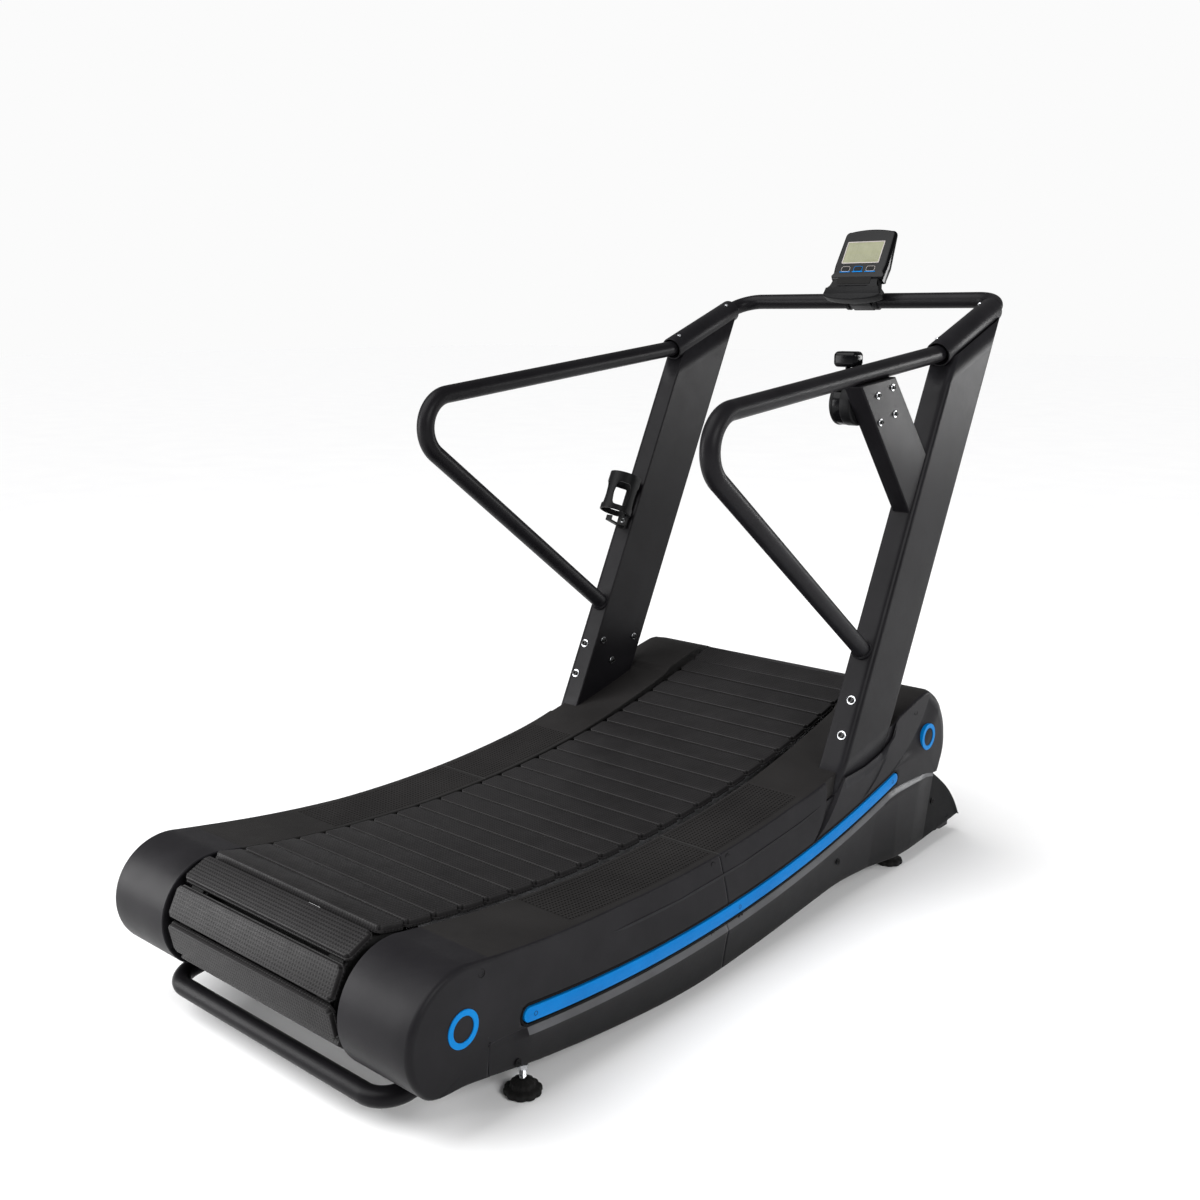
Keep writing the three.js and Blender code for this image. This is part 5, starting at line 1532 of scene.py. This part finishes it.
def console_mount():
    """The ledge for a phone under the console, its bracket to the crossbar and the collar round the bar."""
    turn = Matrix(((0, 0, 1, 0), (1, 0, 0, 0), (0, 1, 0, 0), (0, 0, 0, 1)))  # (v, w) outline, height u
    place = CONSOLE_PLACE @ turn
    half = CONSOLE["half"] + 3
    top, thick, back = CONSOLE["low"] - 0.4, CONSOLE["thick"], CONSOLE["offset"]
    wing = [(-half + 14, top + 2), (-half + 9, 6), (-half - 1, -4), (-half - 3, -18)]
    lower = [(-(half + 3) * math.cos(t), -20 - 15 * math.sin(t)) for t in np.linspace(0, math.pi, 15)]
    outline = [*wing, *lower, *[(-u, v) for u, v in wing[::-1]]]
    plate = pillow(soft_corners(outline, 3, 3), -thick + 4, 1.2, 3.5, CONSOLE_PLACE, 5)
    lean = CONSOLE_PLACE @ Matrix.Translation((0, -3, 1)) @ Matrix.Rotation(math.radians(14), 4, "X")
    lip = [(-half + 2, 1), *[(u * 0.985, v + 3) for u, v in lower], (half - 2, 1)]
    plate.take(pillow(soft_corners(lip, 2.5, 3), -10, 4, 2.5, lean, 4))
    neck = [(top - 16, 2 - thick), (18, -back - 18), (-18, -back - 18), (-20, 10 - back), (-16, -thick + 6)]
    shape = pillow(soft_corners(neck, 4, 4), -30, 30, 2.5, place, 4)
    shape.take(plate)
    for side in (-1, 1):
        collar = [(TUBE - 0.2, -5), (TUBE + 2.6, -5), (TUBE + 3.4, -4), (TUBE + 3.4, 4), (TUBE + 2.6, 5),
                  (TUBE - 0.2, 5)]
        shape.take(lathe(collar, 40).placed(facing((side * 40, CROSSBAR["y"], CROSSBAR["z"]), (1, 0, 0))))
    dress(shape.build("phone_ledge", 30), "root", "plastic", ["console_mount"])
    pocket = pillow(shifted(box_outline(47, 10, 2, 3), -3, 18), 0.2, 2.2, 0.8, CONSOLE_PLACE, 3)
    dress(pocket.build("phone_pad", 30), "root", "rubber")
    slot = Shape()
    for k, length in enumerate((9, 5, 20, 5, 9)):
        u = (-34, -19, 0, 19, 34)[k]
        line = shifted(box_outline(length, 1.1, 1.0, 3), u - 3, 3)
        slot.take(pillow(line, 0.2, 1.9, 0.2, CONSOLE_PLACE, 2))
    dress(slot.build("phone_slot", 30), "root", "channel")


def battery_door():
    low, high, thick, thin = (CONSOLE[k] for k in ("low", "high", "thick", "thin"))
    back = lambda v: -thick + (thick - thin) * (v - low - 34) / (high - low - 33)
    v0, v1, half = low + 42, low + 86, 24
    tilt = math.atan2(back(v1) - back(v0), v1 - v0)
    middle = (v0 + v1) / 2
    place = CONSOLE_PLACE @ Matrix.Translation((0, middle, back(middle))) @ Matrix.Rotation(tilt, 4, "X")
    turn = Matrix.Rotation(math.pi, 4, "Y")
    tall = (v1 - v0) / 2 / math.cos(tilt)
    shape = pillow(box_outline(half, tall, 2.5, 4), -2.4, 0.8, 0.7, place @ turn, 3)
    for k in range(4):
        grip = box_outline(9, 0.9, 0.8, 3)
        shape.take(pillow(shifted(grip, 0, tall - 6 - 3 * k), 0.6, 1.5, 0.4, place @ turn, 2))
    dress(shape.build("battery_hatch"), "battery_door", "plastic", ["battery_door"])


# ---------------------------------------------------------------- bottle cage, feet and wheels
def bottle_cage():
    x, z, height, radius, wall = -371, 717, 124, 37, 3
    out = radius + wall + 5
    along = (z - POST["foot"][1]) / math.cos(POST["lean"])
    place = Matrix.Translation(Vector(POST_FOOT + (x, 0, 0) + POST_UP * along)) @ Matrix(
        ((1, 0, 0), tuple(-POST_DEEP), tuple(POST_UP))).transposed().to_4x4()
    sides, steps = 96, 6
    outer = radius + wall

    def hole(angle):
        """Half the height of the cut-out at an angle: U shapes between four bars."""
        bar = 0.30
        turn = (angle % (math.pi / 2)) / (math.pi / 2)
        share = abs(2 * turn - 1) / (1 - bar)
        return math.sqrt(max(0, 1 - share ** 6)) if share < 1 else 0

    shape = Shape()
    for start, limit in ((height, 98), (26, 40)):
        points = []
        for k in range(sides):
            angle = 2 * math.pi * (k + 0.5) / sides
            edge = 69 + (limit - 69) * hole(angle)
            for i in range(steps + 1):
                level = start + (edge - start) * i / steps
                points.append((outer * math.cos(angle), out + outer * math.sin(angle), level))
        shape.add(points, grid_faces(sides, steps + 1, close_rows=True))
    ring = shape.placed(place).build("bottle_ring", 30)
    thicken(ring, wall)
    bevel(ring, 0.8, 2, 50)
    dress(ring, "root", "plastic", ["bottle_cage"])
    spine = pillow(box_outline(15, 3.2, 2.5, 4), 0, height, 1.2, place @ Matrix.Translation((0, 3.8, 0)), 3)
    for outline, low, high, edge, y in ((box_outline(9, out / 2 + 6, 3, 4), 0, 4, 1.2, out / 2 + 11),
                                        (box_outline(9, 2, 1.5, 4), 0, 14, 1.0, out + 16),
                                        (box_outline(5, 6, 2, 4), 28, 96, 1.0, 6)):
        spine.take(pillow(outline, low, high, edge, place @ Matrix.Translation((0, y, 0)), 3))
    dress(spine.build("bottle_cage_spine"), "root", "plastic")
    screws = Shape()
    for level in (18, 106):
        screws.take(bolt(place @ facing((0, 7, level), (0, 1, 0)), 4, 6))
    dress(screws.build("bottle_cage_screws"), "root", ["steel", "socket"])


FOOT = {"x": 370, "ends": {"rear": 229, "front": 1447}, "pad": 35, "height": 25, "stud": 6, "top": 124,
        "nut": 50}


def feet():
    pad, tall, stud, top, nut = (FOOT[k] for k in ("pad", "height", "stud", "top", "nut"))
    pad -= 2.6
    scallop = lambda angle: 1 - 0.07 * (0.5 + 0.5 * math.cos(10 * angle)) ** 2
    for end, y in FOOT["ends"].items():
        place = Matrix.Translation((FOOT["x"], y, 0))
        base = [(0, 0), (pad - 4, 0), (pad - 1.2, 1.2), (pad, 3.6)]
        side = [(pad, 8), (pad - 1.2, 10), (pad - 4, 11.6), (pad - 10, 14), (20, tall - 4), (15, tall - 1),
                (12, tall + 0.6), (9, tall + 2), (stud + 0.4, tall + 2)]
        cup = lathe(base + side, 168, scallop).placed(place)
        bolt_stud = Shape()
        thread = [(stud - 0.6, tall + 2)]
        pitch = 1.75
        for k in range(int((top - tall - 4) / pitch)):
            level = tall + 3 + pitch * k
            thread += [(stud - 0.7, level), (stud, level + pitch * 0.5)]
        thread += [(stud - 0.8, top), (0, top)]
        bolt_stud.take(lathe(thread, 20).placed(place))
        hexagon = [(stud, -4.5), (9.6, -4.5), (11, -3.6), (11, 3.6), (9.6, 4.5), (stud, 4.5)]
        bolt_stud.take(lathe(hexagon, 6).placed(Matrix.Translation((FOOT["x"], y, nut))))
        both_sides(cup, f"{end}_foot_pad", f"SIDE_{end}_foot", "rubber", f"{end}_foot")
        both_sides(bolt_stud, f"{end}_foot_stud", f"SIDE_{end}_foot", "steel", smooth_angle=40)


def wheels():
    (x0, x1), (y0, y1), (z0, z1) = edges("right_transport_wheel")
    y, z, radius = (y0 + y1) / 2, (z0 + z1) / 2, (y1 - y0) / 2
    place = facing((0, y, z), (1, 0, 0))
    tread = [(radius - 8, x0 + 5), (radius - 2.4, x0 + 1.2), (radius - 0.7, x0 + 2.6), (radius, x0 + 5)]
    profile = [(6.3, x0), (14, x0), (15, x0 + 1), (16, x0 + 5), *tread]
    profile += [(r, x0 + x1 - h) for r, h in tread[::-1]]
    profile += [(16, x1 - 5), (15, x1 - 1), (14, x1), (6.3, x1)]
    both_sides(lathe(profile, 56).placed(place), "wheel_tyre", "SIDE_wheel", "rubber", "transport_wheel")
    (p0, p1), _, _ = edges("right_wheel_pin")
    pin = [(0, p0 + 0.6), (3, p0 + 0.6), (3.6, p0), (9.6, p0), (11, p0 + 1.4), (11, p0 + 5.2), (10.4, p0 + 6),
           (6, p0 + 6), (6, p1 - 0.8), (5.2, p1), (0, p1)]
    both_sides(lathe(pin, 32).placed(place), "wheel_bolt", "root", "steel", "wheel_pin")


# ---------------------------------------------------------------- parts shown as they are in the CAD
CARRIED = {
    "paint": ["right_side_rail", "left_side_rail", "rear_foot_tube", "rear_cross_tube", "front_cross_tube",
              "front_foot_tube"],
    "rubber": ["rear_drum", "front_drum"],
    "steel": ["rear_axle", "front_axle"],
    "aluminium": ["right_roller_track", "left_roller_track", "right_rear_bearing", "left_rear_bearing",
                  "right_front_bearing", "left_front_bearing"],
    "iron": ["flywheel", "brake_yoke"],
}
SOFT = {"paint": 1.2, "rubber": 1.5, "steel": 0.6, "aluminium": 1.2, "iron": 1.5}


def carried_over():
    for look, nodes in CARRIED.items():
        for node in nodes:
            obj = bpy.data.objects[node]
            if not obj.material_slots:
                obj.data.materials.append(None)
            for spot in obj.material_slots:
                spot.material = LOOKS[look]
            bevel(obj, SOFT[look], 2, 40)


# ---------------------------------------------------------------- studio
def area_light(name, place, target, size, watts, colour=(1, 1, 1)):
    data = bpy.data.lights.new(name, "AREA")
    data.shape = "RECTANGLE"
    data.size, data.size_y = size
    data.energy = watts
    data.color = colour
    obj = bpy.data.objects.new(name, data)
    bpy.context.scene.collection.objects.link(obj)
    obj.location = place
    obj.rotation_euler = (Vector(target) - Vector(place)).to_track_quat("-Z", "Y").to_euler()
    return obj


def sun_light(name, way, strength):
    """Very soft key light from one side of the sky."""
    data = bpy.data.lights.new(name, "SUN")
    data.energy = strength
    data.angle = math.radians(60)
    obj = bpy.data.objects.new(name, data)
    bpy.context.scene.collection.objects.link(obj)
    obj.rotation_euler = Vector(way).to_track_quat("Z", "Y").to_euler()
    return obj


def studio():
    world = bpy.data.worlds.new("soft_room")
    world.use_nodes = True
    tree = world.node_tree
    room = next(n for n in tree.nodes if n.type == "BACKGROUND")
    room.inputs["Color"].default_value = (1, 1, 1, 1)
    room.inputs["Strength"].default_value = 0.22
    backdrop = tree.nodes.new("ShaderNodeBackground")
    backdrop.inputs["Color"].default_value = (1, 1, 1, 1)
    backdrop.inputs["Strength"].default_value = 0.965
    seen = tree.nodes.new("ShaderNodeLightPath")
    either = tree.nodes.new("ShaderNodeMixShader")
    out = next(n for n in tree.nodes if n.type == "OUTPUT_WORLD")
    tree.links.new(seen.outputs["Is Camera Ray"], either.inputs[0])
    tree.links.new(room.outputs[0], either.inputs[1])
    tree.links.new(backdrop.outputs[0], either.inputs[2])
    tree.links.new(either.outputs[0], out.inputs["Surface"])
    bpy.context.scene.world = world
    bpy.context.scene.view_settings.view_transform = "Standard"
    mesh = bpy.data.meshes.new("studio_floor")
    reach = 40
    corners = [(-reach, -reach, 0), (reach, -reach, 0), (reach, reach, 0), (-reach, reach, 0)]
    mesh.from_pydata(corners, [], [(0, 1, 2, 3)])
    floor = bpy.data.objects.new("studio_floor", mesh)
    bpy.context.scene.collection.objects.link(floor)
    mesh.materials.append(floor_finish())
    lights = [sun_light("key_light", (-0.3, -0.5, 0.8), 3.5),
              area_light("end_light", (-3.2, -3.2, 1.3), (0, -0.8, 0.3), (2.0, 2.4), 150),
              area_light("post_light", (2.3, 4.1, 1.25), (0.4, 0.5, 1.1), (0.8, 1.0), 48),
              area_light("side_light", (4.0, -1.0, 2.5), (0.4, 0, 0.3), (2.4, 1.2), 110)]


def camera():
    data = bpy.data.cameras.new("photo_view")
    data.lens = 39.18
    data.sensor_width = 36
    obj = bpy.data.objects.new("photo_view", data)
    bpy.context.scene.collection.objects.link(obj)
    obj.location = (1.7182, -2.0727, 1.2412)
    obj.rotation_euler = (math.radians(77.723), 0, math.radians(40.812))
    bpy.context.scene.camera = obj


belt()
covers()
seam_strips()
trims()
grip_panels()
cover_screws()
posts()
post_bolts()
sleeves()
handles()
crossbar()
lift_bar()
resistance_bracket()
resistance_lever()
console_case()
console_face()
console_mount()
battery_door()
bottle_cage()
feet()
wheels()
carried_over()
studio()
camera()
